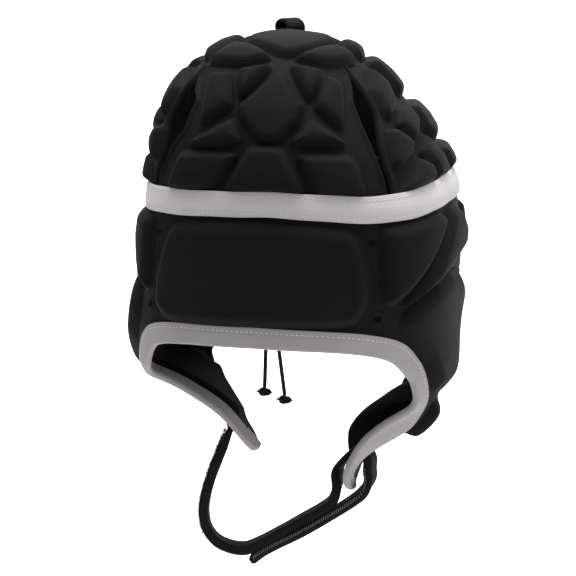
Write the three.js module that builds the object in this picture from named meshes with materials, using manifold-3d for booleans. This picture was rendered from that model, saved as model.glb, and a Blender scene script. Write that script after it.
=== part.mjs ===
// Padded soccer head guard: a moulded crown with raised pads over a one-sheet lower shell with ear flaps,
// grey tape and edge binding, a chin strap and a back lace.
// Millimetres, +Z up, front towards -Y. Left and right are as seen from the front, so right is towards +X.
// The origin is the crown's inner top, where it sits on the head.

import * as THREE from "three";
import { mergeVertices } from "three/addons/utils/BufferGeometryUtils.js";
import Module from "manifold-3d";

const wasm = await Module();
wasm.setup();

// Driving sizes
const GAP = 0.3;
const FACET_EASE = 0.1;
const SHEET = 4;
const PAD_RISE = 7;
const CROWN_PAD_RISE = 6;
const PAD_SINK = 2;
const PAD_CUT = 0.22;
const TAPE_LEVEL = 81;
const TAPE_HEIGHT = 13.5;
const TAPE_THICK = 1.2;
const TAPE_DIP = 3;
const TAPE_SIDE_DIP = { left: 4, right: 2.2 };
const TAPE_CLEAR = 0.9;
const CROWN_INNER = 156.5;
const PETAL_CORNER = 47;
const PETAL_RISE = 0.74;
const SEAM_FOOT = 0.03;
const SEAM_DROP = 0.8;
const LACE_GAP = 15;
const LACE_ANGLE = -175;
const BINDING_THICK = 1.4;
const BINDING_CLEAR = 0.8;
const BINDING_STEP = 5;
const BINDING_WIDE = 11;
const BINDING_TIP = 6;
const BINDING_LEFT_TIP = 8.5;
const BINDING_NAPE = 7;
const STRAP_WIDE = 12;
const STRAP_THICK = 3.4;
const SLOT = { angle: 79.2, level: -91, wide: 15.4, high: 6.5 };
const CORD = 2.4;
const EYELET_ASIDE = 10;
const VENT_HOLE = 3.2;

// Strap: levels where it is sewn on one flap, the free run to the other flap, the pass through its slot
// as steps over the slot and lifts off the sheet, and the run back to the free end
const STRAP_SEWN_ANGLE = -80;
const STRAP_LIFT = 2.3;
const STRAP_DEEP = -18;
const STRAP_SEWN = [-72, -78, -84];
const STRAP_OUT = [
  { x: -38.5, level: -64.5 },
  { x: -41.5, level: -71.5 },
  { x: -45, level: -80 },
  { x: -49.5, level: -92 },
  { x: -53, level: -104 },
  { x: -54.2, level: -114 },
  { x: -52.5, level: -123 },
  { x: -47.3, level: -129.8 },
  { x: -39, level: -133.4 },
  { x: -29.5, level: -133.8 },
  { x: -20, level: -129.5 },
  { x: -10, level: -123.3 },
  { x: 4, level: -114.5 },
  { x: 17, level: -106.2 },
  { x: 22.8, level: -101 },
  { x: 25.2, level: -94 },
];
const STRAP_THROUGH = [
  [-15, -11],
  [-7, -8.6],
  [-1.5, -6.5],
  [0.6, -2],
  [-1.5, 2.8],
  [-7, 6],
  [-13, 8.4],
];
const STRAP_BACK = [
  { x: 41, level: -94.4 },
  { x: 36.5, level: -98.8 },
  { x: 30, level: -103.8 },
  { x: 20, level: -110.6 },
  { x: 4, level: -120.8 },
  { x: -10, level: -129 },
  { x: -19, level: -134.7 },
  { x: -25, level: -139.5 },
];

// Lace: where it is tied inside the nape, and its two hanging ends
const TIE = { x: -33, y: 50, level: -2 };
const TAILS = [
  { name: "left", x: -37.5, y: 50, level: -55, knotWide: 7.5, knotHigh: 4.5 },
  { name: "right", x: -25, y: 50, level: -59, knotWide: 7.5, knotHigh: 4.5 },
];

const LOOP = { wide: 8.6, high: 5.4, thick: 3.2, deep: 11, back: 0.38, lift: 1.2, turn: -45 };

// Sheet's outer face between the pads, by height over the brow edge
const BAND_FORM = [
  { level: -45, halfWidth: 81, front: 88, back: 46, square: 2.4, aside: -5 },
  { level: 0, halfWidth: 86, front: 90, back: 68, square: 2.7, aside: -3 },
  { level: 40, halfWidth: 85, front: 91, back: 84, square: 2.8, aside: 2 },
  { level: 81, halfWidth: 82, front: 89, back: 88, square: 2.8, aside: 1 },
];

// The same face from the tape to the crown's top
const CROWN_FORM = [
  { rise: 0, level: 81, halfWidth: 82, front: 89, back: 88, square: 2.8, aside: 1, turn: 0 },
  { rise: 0.25, level: 104, halfWidth: 74, front: 85, back: 80, square: 2.7, aside: -3, turn: 4 },
  { rise: 0.5, level: 127, halfWidth: 62, front: 74, back: 61, square: 2.6, aside: -8, turn: 7 },
  { rise: 0.75, level: 149, halfWidth: 43, front: 55, back: 39, square: 2.3, aside: -10, turn: 9 },
  { rise: 0.9, level: 158, halfWidth: 22, front: 31, back: 19, square: 2.1, aside: -10, turn: 9 },
  { rise: 1, level: 160.5, halfWidth: 0.4, front: 0.5, back: 0.4, square: 2, aside: -9, turn: 9 },
];

// Lower edge of the shell on each side: how far it hangs under the brow, by angle from the front
const EDGE_RIGHT = [
  { angle: 0, drop: -3 },
  { angle: 20, drop: -2.6 },
  { angle: 30, drop: -1.6 },
  { angle: 38, drop: 0.6 },
  { angle: 46, drop: 4.5 },
  { angle: 50, drop: 8 },
  { angle: 53, drop: 12 },
  { angle: 56, drop: 17 },
  { angle: 58, drop: 20.5 },
  { angle: 60, drop: 26.5 },
  { angle: 62, drop: 36 },
  { angle: 64.5, drop: 60 },
  { angle: 66.5, drop: 84 },
  { angle: 69.5, drop: 103 },
  { angle: 74, drop: 111 },
  { angle: 78, drop: 113 },
  { angle: 82, drop: 111 },
  { angle: 86, drop: 103 },
  { angle: 90, drop: 84 },
  { angle: 95.5, drop: 71 },
  { angle: 103, drop: 58 },
  { angle: 114, drop: 47 },
  { angle: 124, drop: 36 },
  { angle: 134, drop: 25 },
  { angle: 146, drop: 14 },
  { angle: 160, drop: 8 },
  { angle: 180, drop: 6 },
];
const EDGE_LEFT = [
  { angle: 0, drop: -3 },
  { angle: 20, drop: -2.6 },
  { angle: 32, drop: -1 },
  { angle: 39, drop: 2 },
  { angle: 43, drop: 7 },
  { angle: 46, drop: 13 },
  { angle: 49, drop: 18.5 },
  { angle: 53, drop: 23 },
  { angle: 57, drop: 28 },
  { angle: 60.5, drop: 36 },
  { angle: 64, drop: 56 },
  { angle: 66.5, drop: 80 },
  { angle: 69.5, drop: 97 },
  { angle: 73, drop: 102 },
  { angle: 77, drop: 103 },
  { angle: 81, drop: 102 },
  { angle: 84.5, drop: 97 },
  { angle: 88, drop: 82 },
  { angle: 94.5, drop: 70 },
  { angle: 103, drop: 58 },
  { angle: 114, drop: 47 },
  { angle: 124, drop: 36 },
  { angle: 134, drop: 25 },
  { angle: 146, drop: 14 },
  { angle: 160, drop: 8 },
  { angle: 180, drop: 6 },
];

// How far each flap leans inwards from upright, by the length that hangs under the brow; the right flap's
// middle bows out and leans later than its edges
const LEAN_RIGHT = [
  { drop: 0, lean: 0 },
  { drop: 16, lean: -12 },
  { drop: 30, lean: -8 },
  { drop: 38, lean: 32 },
  { drop: 48, lean: 58 },
  { drop: 64, lean: 56 },
  { drop: 84, lean: 34 },
  { drop: 110, lean: 8 },
];
const LEAN_MIDDLE = [
  { drop: 0, lean: 0 },
  { drop: 16, lean: -12 },
  { drop: 30, lean: -10 },
  { drop: 38, lean: 10 },
  { drop: 48, lean: 34 },
  { drop: 64, lean: 56 },
  { drop: 80, lean: 58 },
  { drop: 92, lean: 40 },
  { drop: 110, lean: 8 },
];
const LEAN_LEFT = [
  { drop: 0, lean: 0 },
  { drop: 16, lean: 4 },
  { drop: 32, lean: 60 },
  { drop: 60, lean: 58 },
  { drop: 85, lean: 40 },
  { drop: 110, lean: 34 },
];

// Angles where the right flap's middle starts, is full, starts to end and ends
const MIDDLE = { start: 64, full: 72.5, fall: 80.5, end: 90 };

// How far a flap's rear edge is tucked in towards the head, by angle from the front
const TUCK_RIGHT = [
  { angle: 0, tuck: 0 },
  { angle: 84.5, tuck: 0 },
  { angle: 90, tuck: 14.5 },
  { angle: 95.5, tuck: 16.5 },
  { angle: 103, tuck: 14 },
  { angle: 114, tuck: 6 },
  { angle: 124, tuck: 7 },
  { angle: 140, tuck: 3 },
  { angle: 165, tuck: 0 },
  { angle: 180, tuck: 0 },
];
const TUCK_LEFT = [
  { angle: 0, tuck: 0 },
  { angle: 80, tuck: 0 },
  { angle: 94, tuck: -1 },
  { angle: 103, tuck: -3 },
  { angle: 114, tuck: -11 },
  { angle: 124, tuck: -12.6 },
  { angle: 135, tuck: -6.8 },
  { angle: 165, tuck: 0 },
  { angle: 180, tuck: 0 },
];
// The tuck grows between these shares of a column's drop
const TUCK_SHARE = { from: 0.45, to: 0.95 };

// Vent slits between the petals: how far an edge stands back from its corner, in degrees, by height
const SLITS = {
  frontRight: [
    { up: 0, back: 1.2 },
    { up: 0.12, back: 2.6 },
    { up: 0.28, back: 4.8 },
    { up: 0.43, back: 6.4 },
    { up: 0.6, back: 7.6 },
    { up: 0.73, back: 7.6 },
    { up: 0.86, back: 3.4 },
    { up: 0.95, back: 0.8 },
    { up: 1.1, back: 0.3 },
  ],
  frontLeft: [
    { up: 0, back: 0.4 },
    { up: 0.13, back: 1.6 },
    { up: 0.28, back: 4 },
    { up: 0.4, back: 6.5 },
    { up: 0.56, back: 11 },
    { up: 0.73, back: 11 },
    { up: 0.86, back: 4 },
    { up: 1, back: 0.6 },
  ],
  rightFront: [
    { up: 0, back: -0.6 },
    { up: 0.12, back: -1.4 },
    { up: 0.28, back: -3 },
    { up: 0.42, back: -2.2 },
    { up: 0.55, back: 1 },
    { up: 0.65, back: 3.5 },
    { up: 0.75, back: 3 },
    { up: 0.87, back: 1 },
    { up: 0.95, back: 0.3 },
    { up: 1.1, back: 0.3 },
  ],
  leftFront: [
    { up: 0, back: 0.3 },
    { up: 0.13, back: 0 },
    { up: 0.28, back: -1 },
    { up: 0.42, back: 0.5 },
    { up: 0.6, back: 3 },
    { up: 0.75, back: 3 },
    { up: 0.87, back: 1 },
    { up: 1, back: 0.3 },
  ],
  rear: [
    { up: 0, back: 0.3 },
    { up: 0.16, back: 0.4 },
    { up: 0.35, back: 2.4 },
    { up: 0.6, back: 3.6 },
    { up: 0.8, back: 2.8 },
    { up: 1, back: 0.5 },
  ],
};

// Pads of a petal: corners across (-1 to 1) and up (0 to 1)
const FRONT_PADS = [
  { corners: [[0.08, 0.98], [0.32, 0.73], [0.26, 0.61], [0.09, 0.475], [-0.06, 0.48], [-0.235, 0.63], [-0.285, 0.73]] },
  { corners: [[-0.42, 0.985], [-0.05, 0.985], [-0.29, 0.77]] },
  { corners: [[0.21, 0.985], [0.57, 0.985], [0.385, 0.76]] },
  { corners: [[-0.75, 0.945], [-0.49, 0.955], [-0.355, 0.73], [-0.6, 0.57]] },
  { corners: [[0.58, 0.94], [0.78, 0.88], [0.64, 0.55], [0.43, 0.725]] },
  { corners: [[-0.325, 0.635], [-0.21, 0.47], [-0.43, 0.43], [-0.7, 0.43]] },
  { corners: [[0.39, 0.64], [0.66, 0.45], [0.25, 0.45], [0.215, 0.48]] },
  { corners: [[-0.75, 0.375], [-0.22, 0.385], [-0.42, 0.13], [-0.81, 0.13]] },
  { corners: [[-0.145, 0.43], [0.115, 0.44], [0.335, 0.13], [-0.3, 0.13]] },
  { corners: [[0.24, 0.39], [0.68, 0.37], [0.77, 0.13], [0.42, 0.13]] },
];
const SIDE_PADS = [
  { corners: [[-0.5, 0.94], [-0.26, 0.8], [-0.45, 0.66], [-0.82, 0.58], [-0.87, 0.64], [-0.88, 0.8]] },
  { corners: [[-0.52, 0.62], [-0.14, 0.63], [-0.06, 0.48], [-0.48, 0.4], [-0.72, 0.53]] },
  { corners: [[-0.94, 0.51], [-0.82, 0.51], [-0.6, 0.4], [-0.66, 0.34], [-0.94, 0.26], [-0.97, 0.32]] },
  { corners: [[-0.2, 0.41], [0.12, 0.26], [0.15, 0.13], [-0.26, 0.13], [-0.24, 0.2], [-0.46, 0.31]] },
  { corners: [[-0.96, 0.13], [-0.62, 0.29], [-0.35, 0.22], [-0.36, 0.13]] },
  { corners: [[-0.1, 0.97], [0.72, 0.97], [0.52, 0.7], [-0.02, 0.7]] },
  { corners: [[0.08, 0.6], [0.76, 0.6], [0.78, 0.38], [0.2, 0.33], [0.05, 0.42]] },
  { corners: [[0.3, 0.26], [0.84, 0.28], [0.88, 0.13], [0.31, 0.13]] },
];
const BACK_PADS = [
  { corners: [[-0.42, 0.97], [0.42, 0.97], [0.3, 0.56], [-0.3, 0.56]] },
  { corners: [[0.54, 0.95], [0.82, 0.93], [0.8, 0.54], [0.42, 0.56]], mirrored: true },
  { corners: [[0.06, 0.46], [0.8, 0.44], [0.88, 0.13], [0.06, 0.13]], mirrored: true },
];

// Pads of the crown's top: corners to the side and to the back, where 1 is its rim
const TOP_PADS = [
  { corners: [[-0.68, -0.66], [-0.53, -0.5], [-0.37, -0.33], [-0.18, -0.43], [-0.05, -0.76], [-0.3, -0.86]] },
  { corners: [[0.16, -0.78], [0.28, -0.53], [0.46, -0.32], [0.69, -0.3], [0.86, -0.4], [0.77, -0.57], [0.5, -0.79]] },
  {
    corners: [
      [-0.2, -0.36], [-0.3, -0.16], [-0.2, 0.06], [0.1, 0.1], [0.42, 0.06], [0.55, -0.12], [0.3, -0.5], [0.07, -0.69],
    ],
  },
  { corners: [[-0.5, -0.22], [-0.78, -0.5], [-0.94, -0.1], [-0.9, 0.3], [-0.5, 0.26], [-0.4, 0.02]] },
  { corners: [[0.66, -0.14], [0.93, -0.18], [0.91, 0.3], [0.56, 0.26], [0.56, 0.06]] },
  { corners: [[0.06, 0.62], [0.46, 0.42], [0.72, 0.6], [0.42, 0.86], [0.06, 0.93]], mirrored: true },
];

// Pads of the lower shell: corners by angle and by level over the brow edge
const FOREHEAD_PAD = {
  corners: [[-33, 70.5], [31.5, 70.5], [34.5, 47], [34.8, 28], [32.5, 16.5], [-33, 13.5], [-39, 22], [-39.5, 38]],
  split: 4,
  rings: 3,
  cut: 0.1,
};
const SHELL_SIDE_PADS = [
  { corners: [[40, 71], [74, 71], [78.5, 67], [45, 27], [41, 28], [39.8, 48]] },
  { corners: [[86, 70], [100, 68.5], [109, 54], [102, 43], [84, 40], [57, 29.8], [49, 24.5], [50, 29]] },
  {
    corners: [
      [49.5, 18], [54.5, 26], [66, 32.5], [81, 35.5], [97, 31], [112, 20], [114, -12], [107, -28], [96, -33], [80, -33.5],
      [73.5, -30.5], [70.5, -24], [66, -13], [60, -3], [50.5, 12],
    ],
    left: [
      [-53.5, 18], [-58.5, 26], [-69, 32.5], [-83, 35.5], [-98, 31], [-112, 20], [-114, -12], [-107, -27], [-96, -31],
      [-80, -31.5], [-72, -29], [-66.5, -22], [-61.5, -13], [-57, -5], [-53.5, 10],
    ],
  },
  { corners: [[124, 67], [156, 67], [156, 40], [121, 40]] },
  { corners: [[122, 29], [156, 29], [154, 4], [121, -8]] },
  { corners: [[77, -41], [92, -41], [97, -46], [90, -58], [82, -66], [76, -62]] },
];
// The left side's pads and vents stand a little further round, fading towards the back
const LEFT_SHIFT = { turn: 4, from: 50, to: 110 };

// Rows of a hanging column, as shares of its drop
const FLAP_ROWS = [1, 0.87, 0.75, 0.64, 0.54, 0.45, 0.36, 0.22];
const SIDE_ROWS = [6, 32];

const VENTS = [
  [37, 62.5],
  [40, 19.5],
];

const EYELETS = [10, 32, 54];

const black = { color: 0x1b1b1d, roughness: 0.82, metalness: 0 };
const grey = { color: 0xa9a5a6, roughness: 0.85, metalness: 0 };

const rad = THREE.MathUtils.degToRad;
const clamp = THREE.MathUtils.clamp;
const smooth = THREE.MathUtils.smoothstep;
const vec = (x, y, z) => new THREE.Vector3(x, y, z);

// Smooth reading of every column of a table at one value of its key column
function read(rows, key, at) {
  const last = rows.length - 1;
  let i = 0;
  while (i < last - 1 && at > rows[i + 1][key]) i += 1;
  const rate = (k, name) => (rows[k + 1][name] - rows[k][name]) / (rows[k + 1][key] - rows[k][key]);
  const slope = (k, name) => {
    if (k === 0) return rate(0, name);
    if (k === last) return rate(last - 1, name);
    const before = rate(k - 1, name);
    const after = rate(k, name);
    return before * after > 0 ? (2 * before * after) / (before + after) : 0;
  };
  const span = rows[i + 1][key] - rows[i][key];
  const t = clamp((at - rows[i][key]) / span, 0, 1);
  const out = {};
  for (const name of Object.keys(rows[0])) {
    const a = rows[i][name];
    const b = rows[i + 1][name];
    out[name] =
      a * (1 + 2 * t) * (1 - t) ** 2 +
      b * t * t * (3 - 2 * t) +
      span * (slope(i, name) * t * (1 - t) ** 2 - slope(i + 1, name) * t * t * (1 - t));
  }
  return out;
}

// Point of a rounded plan section at an angle from the front
function planPoint(row, angle) {
  const a = rad(angle + (row.turn ?? 0));
  const reach = Math.cos(a) > 0 ? row.front : row.back;
  const size =
    Math.abs(Math.sin(a) / row.halfWidth) ** row.square + Math.abs(Math.cos(a) / reach) ** row.square;
  const r = size ** (-1 / row.square);
  return vec(r * Math.sin(a) + (row.aside ?? 0), -r * Math.cos(a), row.level);
}

function dip(angle) {
  const side = angle > 0 ? TAPE_SIDE_DIP.right : TAPE_SIDE_DIP.left;
  return TAPE_DIP * Math.sin(rad(2 * angle)) ** 2 + side * Math.sin(rad(angle)) ** 4;
}

// Inward and downward run of a flap at each millimetre of its length
function hangingRun(rows) {
  const run = [{ inward: 0, down: 0 }];
  for (let k = 0; k < 130; k += 1) {
    const lean = rad(read(rows, "drop", k + 0.5).lean);
    run.push({ inward: run[k].inward + Math.sin(lean), down: run[k].down + Math.cos(lean) });
  }
  return run;
}

const edgeLevel = (angle) => -read(angle > 0 ? EDGE_RIGHT : EDGE_LEFT, "angle", Math.abs(angle)).drop;
const hangRight = hangingRun(LEAN_RIGHT);
const hangMiddle = hangingRun(LEAN_MIDDLE);
const hangLeft = hangingRun(LEAN_LEFT);

function hangAt(run, length) {
  const k = Math.floor(length);
  const part = length - k;
  return [run[k].inward * (1 - part) + run[k + 1].inward * part, run[k].down * (1 - part) + run[k + 1].down * part];
}

// How far in and how far down a hanging length ends
function hanging(angle, length) {
  if (angle <= 0) return hangAt(hangLeft, length);
  const share = smooth(angle, MIDDLE.start, MIDDLE.full) * (1 - smooth(angle, MIDDLE.fall, MIDDLE.end));
  const middle = hangAt(hangMiddle, length);
  return hangAt(hangRight, length).map((edge, i) => THREE.MathUtils.lerp(edge, middle[i], share));
}

function shellPoint(angle, level) {
  const row = read(BAND_FORM, "level", level);
  const p = planPoint(row, angle);
  if (level >= 0) {
    p.z -= dip(angle) * clamp(level / TAPE_LEVEL, 0, 1) ** 2;
    return p;
  }
  const [inward, down] = hanging(angle, -level);
  const turned = Math.abs(angle);
  const side = smooth(turned, 30, 60) * (1 - smooth(turned, 105, 165));
  const tuck = read(angle > 0 ? TUCK_RIGHT : TUCK_LEFT, "angle", turned).tuck;
  const tucked = tuck * smooth(level / Math.min(edgeLevel(angle), -1), TUCK_SHARE.from, TUCK_SHARE.to);
  p.x -= Math.sign(angle) * (inward * side + tucked);
  p.z = -THREE.MathUtils.lerp(-level, down, side);
  return p;
}

function crownPoint(angle, rise) {
  const p = planPoint(read(CROWN_FORM, "rise", rise), angle);
  p.z -= dip(angle) * (1 - clamp(rise / 0.5, 0, 1)) ** 2;
  return p;
}

// Outward normal of a surface given by two coordinates, and a point lifted along it
function normalAt(surface, u, v, du, dv, top = Infinity) {
  const w = Math.min(v, top);
  const across = surface(u + du, w).sub(surface(u - du, w));
  const up = surface(u, w + dv).sub(surface(u, w - dv));
  return across.cross(up).normalize();
}
const shellNormal = (angle, level) => normalAt(shellPoint, angle, level, 0.5, 0.6);
const crownNormal = (angle, rise) => normalAt(crownPoint, angle, rise, 0.5, 0.004, 0.96);
const onShell = (angle, level, lift) => shellPoint(angle, level).addScaledVector(shellNormal(angle, level), lift);
const onCrown = (angle, rise, lift) => crownPoint(angle, rise).addScaledVector(crownNormal(angle, rise), lift);

// Closed body from equal loops of points; a loop's first half faces its second half, which caps the ends
function loft(loops, closed = false) {
  const n = loops[0].length;
  const position = loops.flat().flatMap((p) => p.toArray());
  const index = [];
  const quad = (a, b, c, d) => index.push(a, b, c, a, c, d);
  const count = closed ? loops.length : loops.length - 1;
  for (let k = 0; k < count; k += 1) {
    const next = (k + 1) % loops.length;
    for (let i = 0; i < n; i += 1) {
      const j = (i + 1) % n;
      quad(k * n + i, next * n + i, next * n + j, k * n + j);
    }
  }
  if (!closed) {
    const end = (loops.length - 1) * n;
    for (let i = 0; i < n / 2 - 1; i += 1) {
      quad(i, i + 1, n - 2 - i, n - 1 - i);
      quad(end + i, end + n - 1 - i, end + n - 2 - i, end + i + 1);
    }
  }
  return body(position, index);
}

// Indexed geometry turned to face outwards
function body(position, index) {
  let volume = 0;
  const at = (i) => vec(position[3 * i], position[3 * i + 1], position[3 * i + 2]);
  for (let i = 0; i < index.length; i += 3) {
    volume += at(index[i]).dot(at(index[i + 1]).cross(at(index[i + 2])));
  }
  const faces = volume < 0 ? index.slice().reverse() : index;
  const geometry = new THREE.BufferGeometry();
  geometry.setAttribute("position", new THREE.Float32BufferAttribute(position, 3));
  geometry.setIndex(faces);
  return geometry;
}

function toManifold(geometry) {
  const bare = geometry.clone();
  bare.deleteAttribute("normal");
  bare.deleteAttribute("uv");
  const merged = mergeVertices(bare, 1e-4);
  return new wasm.Manifold(
    new wasm.Mesh({
      numProp: 3,
      vertProperties: Float32Array.from(merged.attributes.position.array),
      triVerts: Uint32Array.from(merged.index.array),
    }),
  );
}

function toGeometry(solid) {
  const mesh = solid.simplify(FACET_EASE).getMesh();
  const geometry = new THREE.BufferGeometry();
  geometry.setAttribute("position", new THREE.Float32BufferAttribute(mesh.vertProperties, 3));
  geometry.setIndex(Array.from(mesh.triVerts));
  return geometry;
}

// Outline of a pad: corners cut by curves, long sides split
function padOutline(corners, cut, split) {
  const out = [];
  const mix = (a, b, t) => [a[0] + (b[0] - a[0]) * t, a[1] + (b[1] - a[1]) * t];
  corners.forEach((corner, i) => {
    const before = corners[(i + corners.length - 1) % corners.length];
    const after = corners[(i + 1) % corners.length];
    const from = mix(corner, before, cut);
    const to = mix(corner, after, cut);
    out.push(from, to);
    const next = mix(after, corner, cut);
    for (let k = 1; k < split; k += 1) out.push(mix(to, next, k / split));
  });
  return out;
}

// Raised pad on a surface: rings drawn in from its outline, domed over a rounded edge
function padBody(place, pad) {
  const { corners, cut = PAD_CUT, split = 1, rings = 2, rise } = pad;
  const outline = padOutline(corners, cut, split);
  const n = outline.length;
  const middle = [0, 1].map((k) => outline.reduce((sum, p) => sum + p[k], 0) / n);
  const steps = [];
  for (let k = rings - 1; k >= 1; k -= 1) steps.push([k / rings, -PAD_SINK]);
  steps.push([0, -PAD_SINK], [0.08, 0.7 * rise]);
  for (let k = 1; k < rings; k += 1) steps.push([0.08 + (0.92 * (k - 0.25)) / rings, rise]);
  const position = [];
  const index = [];
  for (const [inset, lift] of steps) {
    for (const p of outline) {
      const spot = [0, 1].map((k) => p[k] + (middle[k] - p[k]) * inset);
      position.push(...place(spot[0], spot[1], lift).toArray());
    }
  }
  const under = steps.length * n;
  position.push(...place(middle[0], middle[1], -PAD_SINK).toArray());
  position.push(...place(middle[0], middle[1], rise).toArray());
  for (let i = 0; i < n; i += 1) {
    const j = (i + 1) % n;
    for (let k = 0; k < steps.length - 1; k += 1) {
      index.push(k * n + i, k * n + j, (k + 1) * n + j, k * n + i, (k + 1) * n + j, (k + 1) * n + i);
    }
    index.push(under, j, i);
    const top = (steps.length - 1) * n;
    index.push(under + 1, top + i, top + j);
  }
  return toManifold(body(position, index));
}

function withPads(sheet, pads, place, rise) {
  let solid = sheet;
  for (const pad of pads) {
    const sides = pad.mirrored ? [1, -1] : [1];
    for (const side of sides) {
      const corners = pad.corners.map(([a, b]) => [a * side, b]);
      solid = solid.add(padBody(place, { rise, ...pad, corners }));
    }
  }
  return solid;
}

// Loop through a sheet's thickness at one station: outer points one way, inner points back
const wallLoop = (spots, place, outer, inner) => [
  ...spots.map(([a, b]) => place(a, b, outer)),
  ...spots.slice().reverse().map(([a, b]) => place(a, b, inner)),
];

// One crown petal about its middle angle, its edges drawn in at the vent slits
function petal(middle, half, pads, lowSlit, highSlit) {
  const columns = 8;
  const rows = 8;
  const loops = [];
  for (let i = 0; i <= columns; i += 1) {
    const across = (2 * i) / columns - 1;
    const spots = [];
    for (let j = 0; j <= rows; j += 1) {
      const up = j / rows;
      const reach = half - read(across < 0 ? lowSlit : highSlit, "up", up).back;
      const foot = j === 0 ? SEAM_FOOT : 0;
      spots.push([middle + across * reach, up * (PETAL_RISE - 0.002) + foot]);
    }
    loops.push(wallLoop(spots, onCrown, 0, -SHEET));
  }
  const place = (across, up, lift) => onCrown(middle + across * (half - 2), up * PETAL_RISE, lift);
  return toGeometry(withPads(toManifold(loft(loops)), pads, place, CROWN_PAD_RISE));
}

const topAngle = (aside, back) => THREE.MathUtils.radToDeg(Math.atan2(aside, -back));
const topRise = (aside, back) => 1 - (1 - PETAL_RISE) * Math.hypot(aside, back);

function crownTop() {
  const columns = 26;
  const risesOut = [PETAL_RISE + 0.006, 0.86, 0.95];
  const position = [];
  const index = [];
  const rings = [...risesOut.map((r) => [r, 0]), ...risesOut.slice().reverse().map((r) => [r, -SHEET])];
  for (const [rise, lift] of rings) {
    for (let i = 0; i < columns; i += 1) position.push(...onCrown((360 * i) / columns - 180, rise, lift).toArray());
  }
  const ring = (a, b) => {
    for (let i = 0; i < columns; i += 1) {
      const j = (i + 1) % columns;
      index.push(a * columns + i, a * columns + j, b * columns + j, a * columns + i, b * columns + j, b * columns + i);
    }
  };
  const half = risesOut.length;
  for (let k = 0; k < half - 1; k += 1) ring(k, k + 1);
  for (let k = half; k < 2 * half - 1; k += 1) ring(k, k + 1);
  ring(2 * half - 1, 0);
  const place = (aside, back, lift) => onCrown(topAngle(aside, back), topRise(aside, back), lift);
  const apex = crownPoint(0, 1);
  const top = position.length / 3;
  position.push(apex.x, apex.y, apex.z, apex.x, apex.y, apex.z - SHEET);
  for (let i = 0; i < columns; i += 1) {
    const j = (i + 1) % columns;
    index.push(top, (half - 1) * columns + i, (half - 1) * columns + j);
    index.push(top + 1, half * columns + j, half * columns + i);
  }
  return toGeometry(withPads(toManifold(body(position, index)), TOP_PADS, place, CROWN_PAD_RISE));
}

// Angles of the shell's columns: wide on the even stretches, close round the flaps
function shellAngles() {
  const half = [];
  const stretches = [
    [0, 36, 4],
    [36, 56, 7],
    [56, 70, 14],
    [70, 84, 4],
    [84, 96, 4],
    [96, 130, 4],
    [130, 172, 4],
  ];
  for (const [from, to, count] of stretches) {
    for (let k = 0; k < count; k += 1) half.push(from + ((to - from) * k) / count);
  }
  return half;
}

const gapHalf = THREE.MathUtils.radToDeg(LACE_GAP / 2 / BAND_FORM[2].back);

function columnAngles() {
  const half = shellAngles();
  const end = 180 - gapHalf;
  const shift = LACE_ANGLE + 180;
  return [-end + shift, ...half.slice(1).reverse().map((a) => -a), ...half, end + shift];
}

// Levels of one column: even over the brow, gathered at the bend where a flap hangs
function columnLevels(angle) {
  const low = edgeLevel(angle);
  const top = TAPE_LEVEL - SEAM_DROP;
  const hanging = smooth(-low, 5, 40);
  const flap = [...FLAP_ROWS.map((share) => share * low), ...SIDE_ROWS, top];
  return flap.map((level, j) => THREE.MathUtils.lerp(low + ((top - low) * j) / (flap.length - 1), level, hanging));
}

const columns = columnAngles();
const columnRows = columns.map(columnLevels);

function columnAt(angle) {
  let i = 0;
  while (i < columns.length - 2 && angle > columns[i + 1]) i += 1;
  return { i, t: (angle - columns[i]) / (columns[i + 1] - columns[i]) };
}

function facetEdge(angle) {
  const { i, t } = columnAt(angle);
  return THREE.MathUtils.lerp(columnRows[i][0], columnRows[i + 1][0], t);
}

// Point over the sheet's own facets, between its columns and rows
function onFacets(angle, level, lift) {
  const { i, t } = columnAt(angle);
  const levelAt = (j) => THREE.MathUtils.lerp(columnRows[i][j], columnRows[i + 1][j], t);
  let j = 0;
  while (j < columnRows[i].length - 2 && level > levelAt(j + 1)) j += 1;
  const s = (level - levelAt(j)) / (levelAt(j + 1) - levelAt(j));
  const onRow = (k) =>
    onShell(columns[i], columnRows[i][k], lift).lerp(onShell(columns[i + 1], columnRows[i + 1][k], lift), t);
  return onRow(j).lerp(onRow(j + 1), s);
}

// The bare sheet, or the room that it takes up with a gap all round
function shellSheet(gap) {
  const loops = columns.map((angle, i) => {
    const spots = columnRows[i].map((level, j) => [angle, j === 0 ? level - gap : level]);
    return wallLoop(spots, onShell, gap, -SHEET - gap);
  });
  return toManifold(loft(loops));
}

function onLeft([angle, level]) {
  const { turn, from, to } = LEFT_SHIFT;
  return [-angle - turn * clamp((to - angle) / (to - from), 0, 1), level];
}

function lowerShell() {
  const leftPads = SHELL_SIDE_PADS.map((pad) => ({ ...pad, corners: pad.left ?? pad.corners.map(onLeft) }));
  let solid = withPads(shellSheet(0), [FOREHEAD_PAD, ...SHELL_SIDE_PADS, ...leftPads], onShell, PAD_RISE);
  for (const [angle, level] of [...VENTS, ...VENTS.map(onLeft)]) solid = solid.subtract(pin(angle, level, VENT_HOLE));
  for (const level of EYELETS) {
    for (const side of [1, -1]) solid = solid.subtract(pin(eyeletAngle(side), level, 2 * CORD));
  }
  solid = solid.subtract(slotCutter());
  return toGeometry(solid);
}

const eyeletAngle = (side) => LACE_ANGLE + side * EYELET_ASIDE;

// Short round cutter through the sheet
function pin(angle, level, diameter) {
  const cylinder = new THREE.CylinderGeometry(diameter / 2, diameter / 2, 26, 8);
  const turn = new THREE.Quaternion().setFromUnitVectors(vec(0, 1, 0), shellNormal(angle, level));
  cylinder.applyQuaternion(turn);
  cylinder.translate(...onShell(angle, level, -SHEET / 2).toArray());
  return toManifold(cylinder);
}

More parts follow.
